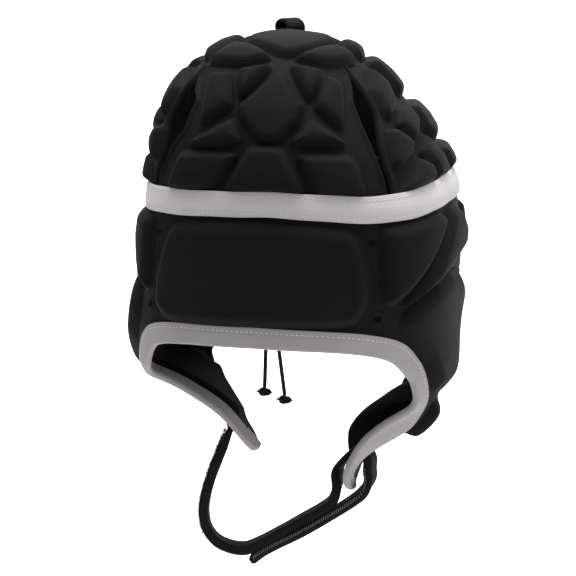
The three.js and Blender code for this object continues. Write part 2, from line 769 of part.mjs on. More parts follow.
// Cutter for the strap's slot in one flap
function slotCutter() {
  const { angle, level, wide, high } = SLOT;
  const box = new THREE.BoxGeometry(wide, high, 24);
  const out = shellNormal(angle, level);
  const across = shellPoint(angle + 1, level).sub(shellPoint(angle - 1, level)).normalize();
  const up = out.clone().cross(across).normalize();
  const basis = new THREE.Matrix4().makeBasis(across, up, out);
  box.applyMatrix4(basis.setPosition(onShell(angle, level, -SHEET / 2)));
  return toManifold(box);
}

// Tape laid over the seam between crown and shell
function headTape() {
  const columns = 40;
  const half = TAPE_HEIGHT / 2;
  const perRise = (CROWN_FORM[1].level - CROWN_FORM[0].level) / CROWN_FORM[1].rise;
  const loops = [];
  for (let i = 0; i < columns; i += 1) {
    const angle = (360 * i) / columns - 180;
    const low = (lift) => onShell(angle, TAPE_LEVEL - half, lift);
    const seam = (lift) => onShell(angle, TAPE_LEVEL - 0.7, lift);
    const high = (lift) => onCrown(angle, half / perRise, lift);
    const outer = TAPE_CLEAR + TAPE_THICK;
    loops.push([low(outer), seam(outer), high(outer), high(TAPE_CLEAR), seam(TAPE_CLEAR), low(TAPE_CLEAR)]);
  }
  return loft(loops, true);
}

// Folded binding round the lower edge, outer leg and inner leg
function binding(from, to, legsAt) {
  const inner = columns.filter((angle) => angle > from + 1 && angle < to - 1);
  const stops = [from, ...inner, to];
  const stations = [from];
  for (let k = 1; k < stops.length; k += 1) {
    const [a, b] = [stops[k - 1], stops[k]];
    const length = onFacets(a, facetEdge(a), 0).distanceTo(onFacets(b, facetEdge(b), 0));
    const parts = Math.ceil(length / BINDING_STEP);
    for (let part = 1; part <= parts; part += 1) stations.push(a + ((b - a) * part) / parts);
  }
  const edge = stations.map((angle) => onFacets(angle, facetEdge(angle), 0));
  const loops = stations.map((angle, k) => {
    const level = facetEdge(angle);
    const out = shellNormal(angle, level + 0.5);
    const before = edge[Math.max(k - 1, 0)];
    const after = edge[Math.min(k + 1, edge.length - 1)];
    const go = edge[k].clone().sub(before).normalize().add(after.clone().sub(edge[k]).normalize()).normalize();
    const into = out.clone().cross(go).normalize();
    const across = shellPoint(angle + 0.5, level).sub(shellPoint(angle - 0.5, level));
    const up = shellPoint(angle, level + 0.5).sub(shellPoint(angle, level - 0.5));
    const shared = across.dot(up);
    const size = across.lengthSq() * up.lengthSq() - shared * shared;
    const perAngle = (into.dot(across) * up.lengthSq() - into.dot(up) * shared) / size;
    const perLevel = (into.dot(up) * across.lengthSq() - into.dot(across) * shared) / size;
    const spot = (inset, lift) =>
      inset > 0
        ? onFacets(angle + perAngle * inset, level + perLevel * inset, lift)
        : edge[k].clone().addScaledVector(into, inset).addScaledVector(out, lift);
    const [outside, inside] = legsAt(angle);
    const clear = BINDING_CLEAR;
    const outer = clear + BINDING_THICK;
    return [
      spot(outside, outer),
      spot(0, outer),
      spot(-outer, -SHEET / 2),
      spot(0, -SHEET - outer),
      spot(inside, -SHEET - outer),
      spot(inside, -SHEET - clear),
      spot(-clear, -SHEET - clear),
      spot(-clear, -SHEET / 2),
      spot(-clear, clear),
      spot(outside, clear),
    ];
  });
  return toGeometry(toManifold(loft(loops)).subtract(shellSheet(1.5 * GAP)));
}

// Widths of the two legs: each flap's hidden leg narrows first, to leave room for the strap
function browLegs(angle) {
  const turned = Math.abs(angle);
  const tip = angle > 0 ? BINDING_TIP : BINDING_LEFT_TIP;
  const shown = THREE.MathUtils.lerp(BINDING_WIDE, tip, smooth(turned, 65, 69.5));
  const hidden = THREE.MathUtils.lerp(BINDING_WIDE, BINDING_TIP, smooth(turned, 63, 66.5));
  return angle > 0 ? [shown, hidden] : [hidden, shown];
}

const napeLegs = () => [BINDING_NAPE, BINDING_NAPE];

// Flat strap swept through rows of a point and a width direction
function strapBody(rows, steps) {
  const line = new THREE.CatmullRomCurve3(rows.map((row) => row.point), false, "centripetal");
  const wide = new THREE.CatmullRomCurve3(rows.map((row) => row.wide), false, "centripetal");
  const loops = [];
  for (let k = 0; k <= steps; k += 1) {
    const t = line.getUtoTmapping(k / steps);
    const go = line.getTangent(t);
    const across = wide.getPoint(t);
    across.addScaledVector(go, -across.dot(go)).normalize();
    const face = go.clone().cross(across);
    const corner = (w, h) =>
      line.getPoint(t).addScaledVector(across, (w * STRAP_WIDE) / 2).addScaledVector(face, (h * STRAP_THICK) / 2);
    loops.push([corner(-1, 1), corner(1, 1), corner(1, -1), corner(-1, -1)]);
  }
  return loft(loops);
}

const acrossFlap = (angle, level) => shellPoint(angle + 1, level).sub(shellPoint(angle - 1, level)).normalize();

function chinStrap() {
  const { angle, level } = SLOT;
  const rows = [];
  for (const sewn of STRAP_SEWN) {
    const at = STRAP_SEWN_ANGLE;
    rows.push({ point: onFacets(at, sewn, STRAP_LIFT), wide: acrossFlap(at, sewn) });
  }
  const free = ({ x, level: z }) => ({ point: vec(x, STRAP_DEEP, z), wide: vec(-0.22, 1, 0) });
  STRAP_OUT.forEach((row) => rows.push(free(row)));
  const wide = acrossFlap(angle, level);
  for (const [at, lift] of STRAP_THROUGH) rows.push({ point: onShell(angle, level + at, lift), wide });
  STRAP_BACK.forEach((row) => rows.push(free(row)));
  return strapBody(rows, 60);
}

// Round cord along a smooth line
function cordBody(points, steps, diameter = CORD) {
  const outline = new THREE.Shape();
  outline.absarc(0, 0, diameter / 2, 0, 2 * Math.PI, false);
  const path = new THREE.CatmullRomCurve3(points, false, "centripetal");
  return new THREE.ExtrudeGeometry(outline, { steps, curveSegments: 4, extrudePath: path });
}

function backLace() {
  const inside = -SHEET - CORD;
  const outside = CORD;
  const points = [];
  const eyelet = (side, k, from, to) => {
    for (const lift of [from, (from + to) / 2, to]) points.push(onShell(eyeletAngle(side), EYELETS[k], lift));
  };
  const crossing = (k, lift) => points.push(onShell(LACE_ANGLE, (EYELETS[k] + EYELETS[k + 1]) / 2, lift));
  points.push(vec(TIE.x - 3, TIE.y - 1, TIE.level + 5));
  eyelet(1, 0, inside, outside);
  crossing(0, outside);
  eyelet(-1, 1, outside, inside);
  crossing(1, inside);
  eyelet(1, 2, inside, outside);
  eyelet(-1, 2, outside, inside);
  crossing(1, inside - 1.4 * CORD);
  eyelet(1, 1, inside, outside);
  crossing(0, outside + 1.4 * CORD);
  eyelet(-1, 0, outside, inside);
  points.push(vec(TIE.x + 5, TIE.y - 1, TIE.level + 3));
  return cordBody(points, 50);
}

function knot(x, y, level, wide, high) {
  const ball = new THREE.SphereGeometry(1, 8, 5);
  ball.scale(wide / 2, wide / 2.4, high / 2);
  ball.translate(x, y, level);
  return ball;
}

function crownLoop() {
  const steps = 16;
  const foot = onCrown(180, topRise(0, LOOP.back), LOOP.lift);
  const loops = [];
  for (let k = 0; k < steps; k += 1) {
    const a = (2 * Math.PI * k) / steps;
    const at = (wide, high, side) =>
      vec(wide * Math.cos(a), (side * LOOP.deep) / 2, LOOP.high + high * Math.sin(a))
        .applyAxisAngle(vec(0, 0, 1), rad(LOOP.turn))
        .add(foot);
    const inner = [LOOP.wide - LOOP.thick, LOOP.high - LOOP.thick];
    loops.push([at(LOOP.wide, LOOP.high, -1), at(LOOP.wide, LOOP.high, 1), at(...inner, 1), at(...inner, -1)]);
  }
  return loft(loops, true);
}

const flipped = (pad) => ({ ...pad, corners: pad.corners.map(([across, up]) => [-across, up]) });

const group = new THREE.Group();
group.name = "soccer_head_guard";
const worn = new THREE.Group();
worn.position.z = -CROWN_INNER;
group.add(worn);

function piece(name, geometry, look) {
  const flat = geometry.clone();
  flat.deleteAttribute("uv");
  flat.computeVertexNormals();
  const mesh = new THREE.Mesh(flat, new THREE.MeshStandardMaterial(look));
  mesh.name = name;
  worn.add(mesh);
}

const { frontLeft, frontRight, leftFront, rightFront, rear } = SLITS;
piece("crown_front", petal(0, PETAL_CORNER, FRONT_PADS, frontLeft, frontRight), black);
piece("crown_right", petal(90, 90 - PETAL_CORNER, SIDE_PADS, rightFront, rear), black);
piece("crown_left", petal(-90, 90 - PETAL_CORNER, SIDE_PADS.map(flipped), rear, leftFront), black);
piece("crown_back", petal(180, PETAL_CORNER, BACK_PADS, rear, rear), black);
piece("crown_top", crownTop(), black);
piece("lower_shell", lowerShell(), black);
piece("head_tape", headTape(), grey);
piece("brow_binding", binding(-80, 80, browLegs), grey);
piece("nape_binding_left", binding(columns[0], -128, napeLegs), grey);
piece("nape_binding_right", binding(128, columns.at(-1), napeLegs), grey);
piece("chin_strap", chinStrap(), black);
piece("crown_loop", crownLoop(), black);
piece("back_lace", backLace(), black);
piece("lace_tie", knot(TIE.x, TIE.y, TIE.level, 9, 7), black);
for (const { name, x, y, level, knotWide, knotHigh } of TAILS) {
  const side = Math.sign(x - TIE.x);
  const points = [
    vec(TIE.x + side * 2, TIE.y, TIE.level - 4.5),
    vec(TIE.x + side * 3.2, y, (TIE.level * 2 + level) / 3),
    vec(x, y, level),
  ];
  piece(`lace_tail_${name}`, cordBody(points, 9), black);
  piece(`lace_knot_${name}`, knot(x, y, level - knotHigh / 2 - GAP, knotWide, knotHigh), black);
}

export default group;
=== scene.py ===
import bpy
import bmesh
import math
import random
import numpy as np
from mathutils import Matrix, Vector
from mathutils.kdtree import KDTree


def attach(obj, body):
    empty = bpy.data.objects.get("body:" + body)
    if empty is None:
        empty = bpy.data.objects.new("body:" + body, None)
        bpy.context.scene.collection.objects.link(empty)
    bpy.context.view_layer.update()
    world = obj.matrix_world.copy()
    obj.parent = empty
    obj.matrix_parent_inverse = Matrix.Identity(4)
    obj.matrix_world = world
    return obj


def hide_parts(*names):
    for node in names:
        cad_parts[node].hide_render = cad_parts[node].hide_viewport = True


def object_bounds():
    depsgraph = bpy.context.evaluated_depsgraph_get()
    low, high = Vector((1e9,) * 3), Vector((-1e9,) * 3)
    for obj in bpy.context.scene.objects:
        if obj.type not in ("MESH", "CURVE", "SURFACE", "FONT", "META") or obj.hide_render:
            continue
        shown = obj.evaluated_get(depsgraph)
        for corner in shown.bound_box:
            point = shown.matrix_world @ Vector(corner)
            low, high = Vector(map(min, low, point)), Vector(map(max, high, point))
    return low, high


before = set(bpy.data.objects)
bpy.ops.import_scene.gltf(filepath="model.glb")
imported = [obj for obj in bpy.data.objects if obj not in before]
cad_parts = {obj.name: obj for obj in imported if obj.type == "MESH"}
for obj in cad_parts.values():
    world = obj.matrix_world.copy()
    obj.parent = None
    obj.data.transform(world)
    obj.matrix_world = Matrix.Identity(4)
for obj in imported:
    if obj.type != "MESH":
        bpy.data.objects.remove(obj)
cadLow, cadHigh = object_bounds()
scene = bpy.context.scene
print("frame loaded")

# camera at the photograph's angle, on a white sweep
view = {
    "place": (0.3983, -1.4362, 0.1683),
    "aim": (-0.004, -0.017, -0.1355),
    "lens": 166.6,
    "floorDrop": 0.45,
    "floorSize": 14.0,
    "wallBack": 5.0,
    "wallHigh": 6.0,
    "bend": 2.0,
}


def setCamera():
    data = bpy.data.cameras.new("photoCamera")
    data.lens = view["lens"]
    data.sensor_width = 36
    data.clip_end = 60
    camera = bpy.data.objects.new("photoCamera", data)
    scene.collection.objects.link(camera)
    camera.location = view["place"]
    look = Vector(view["aim"]) - Vector(view["place"])
    camera.rotation_euler = look.to_track_quat("-Z", "Y").to_euler()
    scene.camera = camera


setCamera()
scene.view_settings.view_transform = "Standard"

# head form in millimetres over the brow edge; angles run from the front, right is plus
form = {
    "crownInner": 156.5,
    "sheet": 4.0,
    "tapeLevel": 81.0,
    "tapeDip": 3.0,
    "sideDip": {"left": 4.0, "right": 2.2},
    "petalRise": 0.74,
    "laceAngle": -175.0,
    # level, halfWidth, front, back, square, aside, turn
    "band": [
        (-45, 81, 88, 46, 2.4, -5, 0),
        (0, 86, 90, 68, 2.7, -3, 0),
        (40, 85, 91, 84, 2.8, 2, 0),
        (81, 82, 89, 88, 2.8, 1, 0),
    ],
    # rise, halfWidth, front, back, square, aside, turn, level
    "crown": [
        (0, 82, 89, 88, 2.8, 1, 0, 81),
        (0.25, 74, 85, 80, 2.7, -3, 4, 104),
        (0.5, 62, 74, 61, 2.6, -8, 7, 127),
        (0.75, 43, 55, 39, 2.3, -10, 9, 149),
        (0.9, 22, 31, 19, 2.1, -10, 9, 158),
        (1, 0.4, 0.5, 0.4, 2, -9, 9, 160.5),
    ],
    # angle, drop of the lower edge on each side
    "edgeRight": [
        (0, -3), (20, -2.6), (30, -1.6), (38, 0.6), (46, 4.5), (50, 8), (53, 12), (56, 17), (58, 20.5),
        (60, 26.5), (62, 36), (64.5, 60), (66.5, 84), (69.5, 103), (74, 111), (78, 113), (82, 111),
        (86, 103), (90, 84), (95.5, 71), (103, 58), (114, 47), (124, 36), (134, 25), (146, 14), (160, 8),
        (180, 6),
    ],
    "edgeLeft": [
        (0, -3), (20, -2.6), (32, -1), (39, 2), (43, 7), (46, 13), (49, 18.5), (53, 23), (57, 28), (60.5, 36),
        (64, 56), (66.5, 80), (69.5, 97), (73, 102), (77, 103), (81, 102), (84.5, 97), (88, 82), (94.5, 70),
        (103, 58), (114, 47), (124, 36), (134, 25), (146, 14), (160, 8), (180, 6),
    ],
    # drop, lean inwards; the right flap's middle bows out and leans later than its edges
    "leanRight": [(0, 0), (16, -12), (30, -8), (38, 32), (48, 58), (64, 56), (84, 34), (110, 8)],
    "leanMiddle": [
        (0, 0), (16, -12), (30, -10), (38, 10), (48, 34), (64, 56), (80, 58), (92, 40), (110, 8),
    ],
    "middleRise": (64, 72.5),
    "middleFall": (80.5, 90),
    "leanLeft": [(0, 0), (16, 4), (32, 60), (60, 58), (85, 40), (110, 34)],
    # angle, tuck of a flap's rear edge towards the head, which grows between two shares of the drop
    "tuckRight": [
        (0, 0), (84.5, 0), (90, 14.5), (95.5, 16.5), (103, 14), (114, 6), (124, 7), (140, 3), (165, 0),
        (180, 0),
    ],
    "tuckLeft": [
        (0, 0), (80, 0), (94, -1), (103, -3), (114, -11), (124, -12.6), (135, -6.8), (165, 0), (180, 0),
    ],
    "tuckShare": (0.45, 0.95),
}


def smoothStep(x, low, high):
    t = np.clip((x - low) / (high - low), 0, 1)
    return t * t * (3 - 2 * t)


def readTable(rows, at):
    table = np.array(rows, float)
    keys = table[:, 0]
    span = np.diff(keys)[:, None]
    rate = np.diff(table, axis=0) / span
    before, after = rate[:-1], rate[1:]
    even = before * after > 0
    middle = np.where(even, 2 * before * after / np.where(even, before + after, 1), 0)
    slope = np.vstack([rate[:1], middle, rate[-1:]])
    at = np.clip(np.asarray(at, float), keys[0], keys[-1])
    i = np.clip(np.searchsorted(keys, at) - 1, 0, len(keys) - 2)
    t = ((at - keys[i]) / span[i, 0])[..., None]
    ends = table[i] * (1 + 2 * t) * (1 - t) ** 2 + table[i + 1] * t * t * (3 - 2 * t)
    bows = slope[i] * t * (1 - t) ** 2 - slope[i + 1] * t * t * (1 - t)
    return ends + span[i] * bows


def planPoint(row, angle, level):
    halfWidth, front, back, square, aside, turn = np.moveaxis(row[..., 1:7], -1, 0)
    a = np.radians(angle + turn)
    reach = np.where(np.cos(a) > 0, front, back)
    size = np.abs(np.sin(a) / halfWidth) ** square + np.abs(np.cos(a) / reach) ** square
    r = size ** (-1 / square)
    return np.stack([r * np.sin(a) + aside, -r * np.cos(a), level], axis=-1)


def hangRun(rows):
    lean = np.radians(readTable(rows, np.arange(130) + 0.5)[:, 1])
    inward = np.concatenate([[0], np.cumsum(np.sin(lean))])
    down = np.concatenate([[0], np.cumsum(np.cos(lean))])
    return inward, down


hangLeft = hangRun(form["leanLeft"])
hangRight = hangRun(form["leanRight"])
hangMiddle = hangRun(form["leanMiddle"])
hangSteps = np.arange(131)


def tapeDip(angle):
    side = np.where(np.asarray(angle) > 0, form["sideDip"]["right"], form["sideDip"]["left"])
    return form["tapeDip"] * np.sin(np.radians(2 * angle)) ** 2 + side * np.sin(np.radians(angle)) ** 4


def edgeLevel(angle):
    angle = np.asarray(angle, float)
    right, left = (readTable(form[key], np.abs(angle))[..., 1] for key in ("edgeRight", "edgeLeft"))
    return -np.where(angle > 0, right, left)


def shellPoint(angle, level):
    angle, level = np.broadcast_arrays(np.asarray(angle, float), np.asarray(level, float))
    high = level - tapeDip(angle) * np.clip(level / form["tapeLevel"], 0, 1) ** 2
    p = planPoint(readTable(form["band"], level), angle, high)
    hang = np.maximum(-level, 0)
    right = angle > 0
    turned = np.abs(angle)
    middle = smoothStep(turned, *form["middleRise"]) * (1 - smoothStep(turned, *form["middleFall"]))
    runs = []
    for left, edge, full in zip(hangLeft, hangRight, hangMiddle):
        onRight = np.interp(hang, hangSteps, edge) * (1 - middle) + np.interp(hang, hangSteps, full) * middle
        runs.append(np.where(right, onRight, np.interp(hang, hangSteps, left)))
    inward, down = runs
    side = smoothStep(turned, 30, 60) * (1 - smoothStep(turned, 105, 165))
    tuckRight, tuckLeft = (readTable(form[key], turned)[..., 1] for key in ("tuckRight", "tuckLeft"))
    share = level / np.minimum(edgeLevel(angle), -1)
    tuck = np.where(right, tuckRight, tuckLeft) * smoothStep(share, *form["tuckShare"])
    p[..., 0] -= np.sign(angle) * (inward * side + tuck)
    p[..., 2] = np.where(level < 0, -(hang + (down - hang) * side), p[..., 2])
    return p


def crownPoint(angle, rise):
    angle, rise = np.broadcast_arrays(np.asarray(angle, float), np.asarray(rise, float))
    row = readTable(form["crown"], rise)
    high = row[..., 7] - tapeDip(angle) * (1 - np.clip(rise / 0.5, 0, 1)) ** 2
    return planPoint(row, angle, high)


def topPoint(aside, back):
    angle = np.degrees(np.arctan2(aside, -back))
    return crownPoint(angle, 1 - (1 - form["petalRise"]) * np.hypot(aside, back))


def outward(surface, u, v, du, dv):
    across = surface(u + du, v) - surface(u - du, v)
    up = surface(u, v + dv) - surface(u, v - dv)
    normal = np.cross(across, up)
    return normal / np.linalg.norm(normal, axis=-1, keepdims=True)


def lifted(surface, u, v, lift, du, dv):
    return surface(u, v) + outward(surface, u, v, du, dv) * np.asarray(lift, float)[..., None]


def onShell(angle, level, lift):
    return lifted(shellPoint, angle, level, lift, 0.5, 0.6)


def onCrown(angle, rise, lift):
    return lifted(crownPoint, angle, rise, lift, 0.5, 0.004)


def toMetres(points):
    return (np.asarray(points, float) - (0, 0, form["crownInner"])) * 0.001


# shader sockets that add up like numbers
class Wire:
    def __init__(self, tree, out=None):
        self.tree = tree
        self.out = out

    def make(self, kind, settings=None, inputs=None, pick=0):
        node = self.tree.nodes.new(kind)
        for name, value in (settings or {}).items():
            setattr(node, name, value)
        for name, value in (inputs or {}).items():
            if isinstance(value, Wire):
                self.tree.links.new(value.out, node.inputs[name])
            else:
                node.inputs[name].default_value = value
        return Wire(self.tree, node.outputs[pick] if node.outputs else None)

    def calc(self, operation, first, second=0.0):
        return self.make("ShaderNodeMath", {"operation": operation}, {0: first, 1: second})

    def __add__(self, other):
        return self.calc("ADD", self, other)

    __radd__ = __add__

    def __mul__(self, other):
        return self.calc("MULTIPLY", self, other)

    def __sub__(self, other):
        return self.calc("SUBTRACT", self, other)

    def __truediv__(self, other):
        return self.calc("DIVIDE", self, other)

    def wave(self):
        return self.calc("SINE", self * (2 * math.pi)) * 0.5 + 0.5

    def mix(self, low, high):
        return self.make(
            "ShaderNodeMix", {"data_type": "RGBA"}, {0: self, 6: (*low, 1), 7: (*high, 1)}, 2
        )


fabrics = {
    "ribbedFabric": {
        "low": (0.0018, 0.0018, 0.0019), "high": (0.0068, 0.0066, 0.0069), "rough": 0.74, "shine": 0.05,
        "sheen": 0.006, "ribPitch": 0.0012, "ribDeep": 0.00009, "loopPitch": 0.0009,
    },
    "smoothFabric": {
        "low": (0.0022, 0.0022, 0.0023), "high": (0.0058, 0.0057, 0.0059), "rough": 0.78, "shine": 0.055,
        "sheen": 0.006, "ribPitch": 0.0007, "ribDeep": 0.00003, "loopPitch": 0.0007,
    },
    "greyTape": {
        "low": (0.29, 0.271, 0.277), "high": (0.40, 0.374, 0.383), "rough": 0.88, "shine": 0.2,
        "sheen": 0.04, "ribPitch": 0.0009, "ribDeep": 0.00005, "loopPitch": 0.0009,
    },
    # the head tape's grey darkened to about 0.63 of it: painted shade for the binding, which faces down, away
    # from the top light
    "paintedShadeTape": {
        "low": (0.185, 0.173, 0.177), "high": (0.25, 0.234, 0.24), "rough": 0.88, "shine": 0.2,
        "sheen": 0.03, "ribPitch": 0.0009, "ribDeep": 0.00005, "loopPitch": 0.0009,
    },
    "strapWebbing": {
        "low": (0.0028, 0.0028, 0.0030), "high": (0.0100, 0.0098, 0.0103), "rough": 0.9, "shine": 0.07,
        "sheen": 0.03, "ribPitch": 0.0012, "ribDeep": 0.00016, "loopPitch": 0.0008,
    },
    "hookThread": {
        "low": (0.025, 0.024, 0.0245), "high": (0.075, 0.072, 0.073), "rough": 0.5, "shine": 0.4,
        "sheen": 0.05, "ribPitch": 0.0005, "ribDeep": 0.00002, "loopPitch": 0.0005,
    },
    "laceCord": {
        "low": (0.0025, 0.0025, 0.0025), "high": (0.011, 0.011, 0.011), "rough": 0.75, "shine": 0.12,
        "sheen": 0.03, "ribPitch": 0.0016, "ribDeep": 0.0002, "loopPitch": 0.0016,
    },
    "stitchThread": {
        "low": (0.36, 0.338, 0.345), "high": (0.50, 0.473, 0.482), "rough": 0.6, "shine": 0.3,
        "sheen": 0.1, "ribPitch": 0.0005, "ribDeep": 0.00004, "loopPitch": 0.0005,
    },
}


def makeFabric(name):
    look = fabrics[name]
    material = bpy.data.materials.new(name)
    material.use_nodes = True
    tree = material.node_tree
    tree.nodes.clear()
    start = Wire(tree)
    uv = start.make("ShaderNodeUVMap", {"uv_map": "cloth"})
    along = start.make("ShaderNodeSeparateXYZ", None, {0: uv})
    across = Wire(tree, along.out.node.outputs[1])
    spot = start.make("ShaderNodeTexCoord", None, None, 3)
    ribs = (across / look["ribPitch"]).wave()
    loops = (along / look["loopPitch"]).wave()
    weave = ribs * 0.7 + ribs * loops * 0.3
    cloud = start.make("ShaderNodeTexNoise", None, {"Vector": spot, "Scale": 60.0, "Detail": 4.0})
    fuzz = start.make("ShaderNodeTexNoise", None, {"Vector": spot, "Scale": 2600.0, "Detail": 2.0})
    tone = cloud * 0.45 + weave * 0.35 + fuzz * 0.2
    relief = weave * look["ribDeep"] + fuzz * 0.00005
    bump = start.make("ShaderNodeBump", None, {"Strength": 1.0, "Distance": 1.0, "Height": relief})
    rough = look["rough"] + (cloud - 0.5) * 0.16
    shader = start.make("ShaderNodeBsdfPrincipled", None, {
        "Base Color": tone.mix(look["low"], look["high"]),
        "Roughness": rough,
        "Normal": bump,
        "Sheen Weight": look["sheen"],
        "Sheen Roughness": 0.45,
        "Specular IOR Level": look["shine"],
    })
    start.make("ShaderNodeOutputMaterial", None, {"Surface": shader})
    return material


materials = {name: makeFabric(name) for name in fabrics}


def finishPiece(bm, name, fabric, nodes=()):
    mesh = bpy.data.meshes.new(name)
    bm.to_mesh(mesh)
    bm.free()
    mesh.shade_smooth()
    mesh.set_sharp_from_angle(angle=math.radians(60))
    obj = bpy.data.objects.new(name, mesh)
    scene.collection.objects.link(obj)
    mesh.materials.append(materials[fabric])
    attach(obj, "root")
    if nodes:
        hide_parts(*nodes)
    print("made", name, len(mesh.polygons), "faces")
    return obj


# flat grid slab in pattern space, from 0 to 1 both ways, then wrapped by place(u, v, outer)
def wrapSlab(columns, rows, place, around=False):
    bm = bmesh.new()
    bmesh.ops.create_grid(bm, x_segments=columns, y_segments=rows, size=0.5)
    bmesh.ops.translate(bm, verts=bm.verts, vec=(0.5, 0.5, 0))
    made = bmesh.ops.extrude_face_region(bm, geom=bm.faces[:], use_keep_orig=True)
    inner = [e for e in made["geom"] if isinstance(e, bmesh.types.BMVert)]
    bmesh.ops.translate(bm, verts=inner, vec=(0, 0, -1))
    if around:
        ends = [f for f in bm.faces if abs(f.calc_center_median().x - 0.5) > 0.5 - 1e-5]
        bmesh.ops.delete(bm, geom=ends, context="FACES_ONLY")
    bm.verts.index_update()
    flat = np.array([v.co for v in bm.verts])
    points, cloth = place(flat[:, 0], flat[:, 1], flat[:, 2] > -0.5)
    points = toMetres(points)
    cloth = np.asarray(cloth) * 0.001
    layer = bm.loops.layers.uv.new("cloth")
    for face in bm.faces:
        for loop in face.loops:
            loop[layer].uv = cloth[loop.vert.index]
    for vert, point in zip(bm.verts, points):
        vert.co = point
    if around:
        bmesh.ops.remove_doubles(bm, verts=bm.verts, dist=1e-6)
    bmesh.ops.recalc_face_normals(bm, faces=bm.faces)
    return bm


# 0 inside, rising to 1 where a padded sheet rolls over its edge
def rim(distance, radius):
    t = np.clip(1 - distance / radius, 0, 1)
    return 1 - np.sqrt(1 - 0.9 * t * t)


def roundedOutline(corners, cut):
    outline = np.array(corners, float)
    for share in (cut, 0.25, 0.25):
        step = np.roll(outline, -1, axis=0) - outline
        outline = np.stack([outline + step * share, outline + step * (1 - share)], 1).reshape(-1, 2)
    return outline


def insideDistance(spots, outline):
    best = np.full(len(spots), 1e9)
    inside = np.zeros(len(spots), bool)
    x, y = spots.T
    for p, q in zip(outline, np.roll(outline, -1, axis=0)):
        edge = q - p
        t = np.clip(((spots - p) @ edge) / max(edge @ edge, 1e-9), 0, 1)
        away = spots - p - t[:, None] * edge
        best = np.minimum(best, np.hypot(*away.T))
        crosses = (p[1] > y) != (q[1] > y)
        rise = edge[1] if abs(edge[1]) > 1e-12 else 1e-12
        inside ^= crosses & (x < p[0] + (y - p[1]) / rise * edge[0])
    return np.where(inside, best, -best)


padLook = {"roll": 3.9, "foot": 1.8, "dome": 0.16}


# height of moulded pads over a sheet, with rounded shoulders and a soft groove between them
def padField(spots, outlines, rise, rolls=None):
    height = np.zeros(len(spots))
    foot = padLook["foot"]
    for outline, roll in zip(outlines, rolls or [padLook["roll"]] * len(outlines)):
        near = np.all((spots > outline.min(0) - foot) & (spots < outline.max(0) + foot), axis=1)
        if not near.any():
            continue
        depth = insideDistance(spots[near], outline)
        deepest = max(depth.max(), 1.0)
        reach = min(roll, 0.95 * deepest)
        t = np.clip((depth + foot) / (reach + foot), 0, 1)
        swell = (1 - (1 - t) ** 2.2) ** 1.15
        crown = 1 - padLook["dome"] + padLook["dome"] * np.clip(depth / deepest, 0, 1)
        height[near] = np.maximum(height[near], rise * swell * crown)
    return height


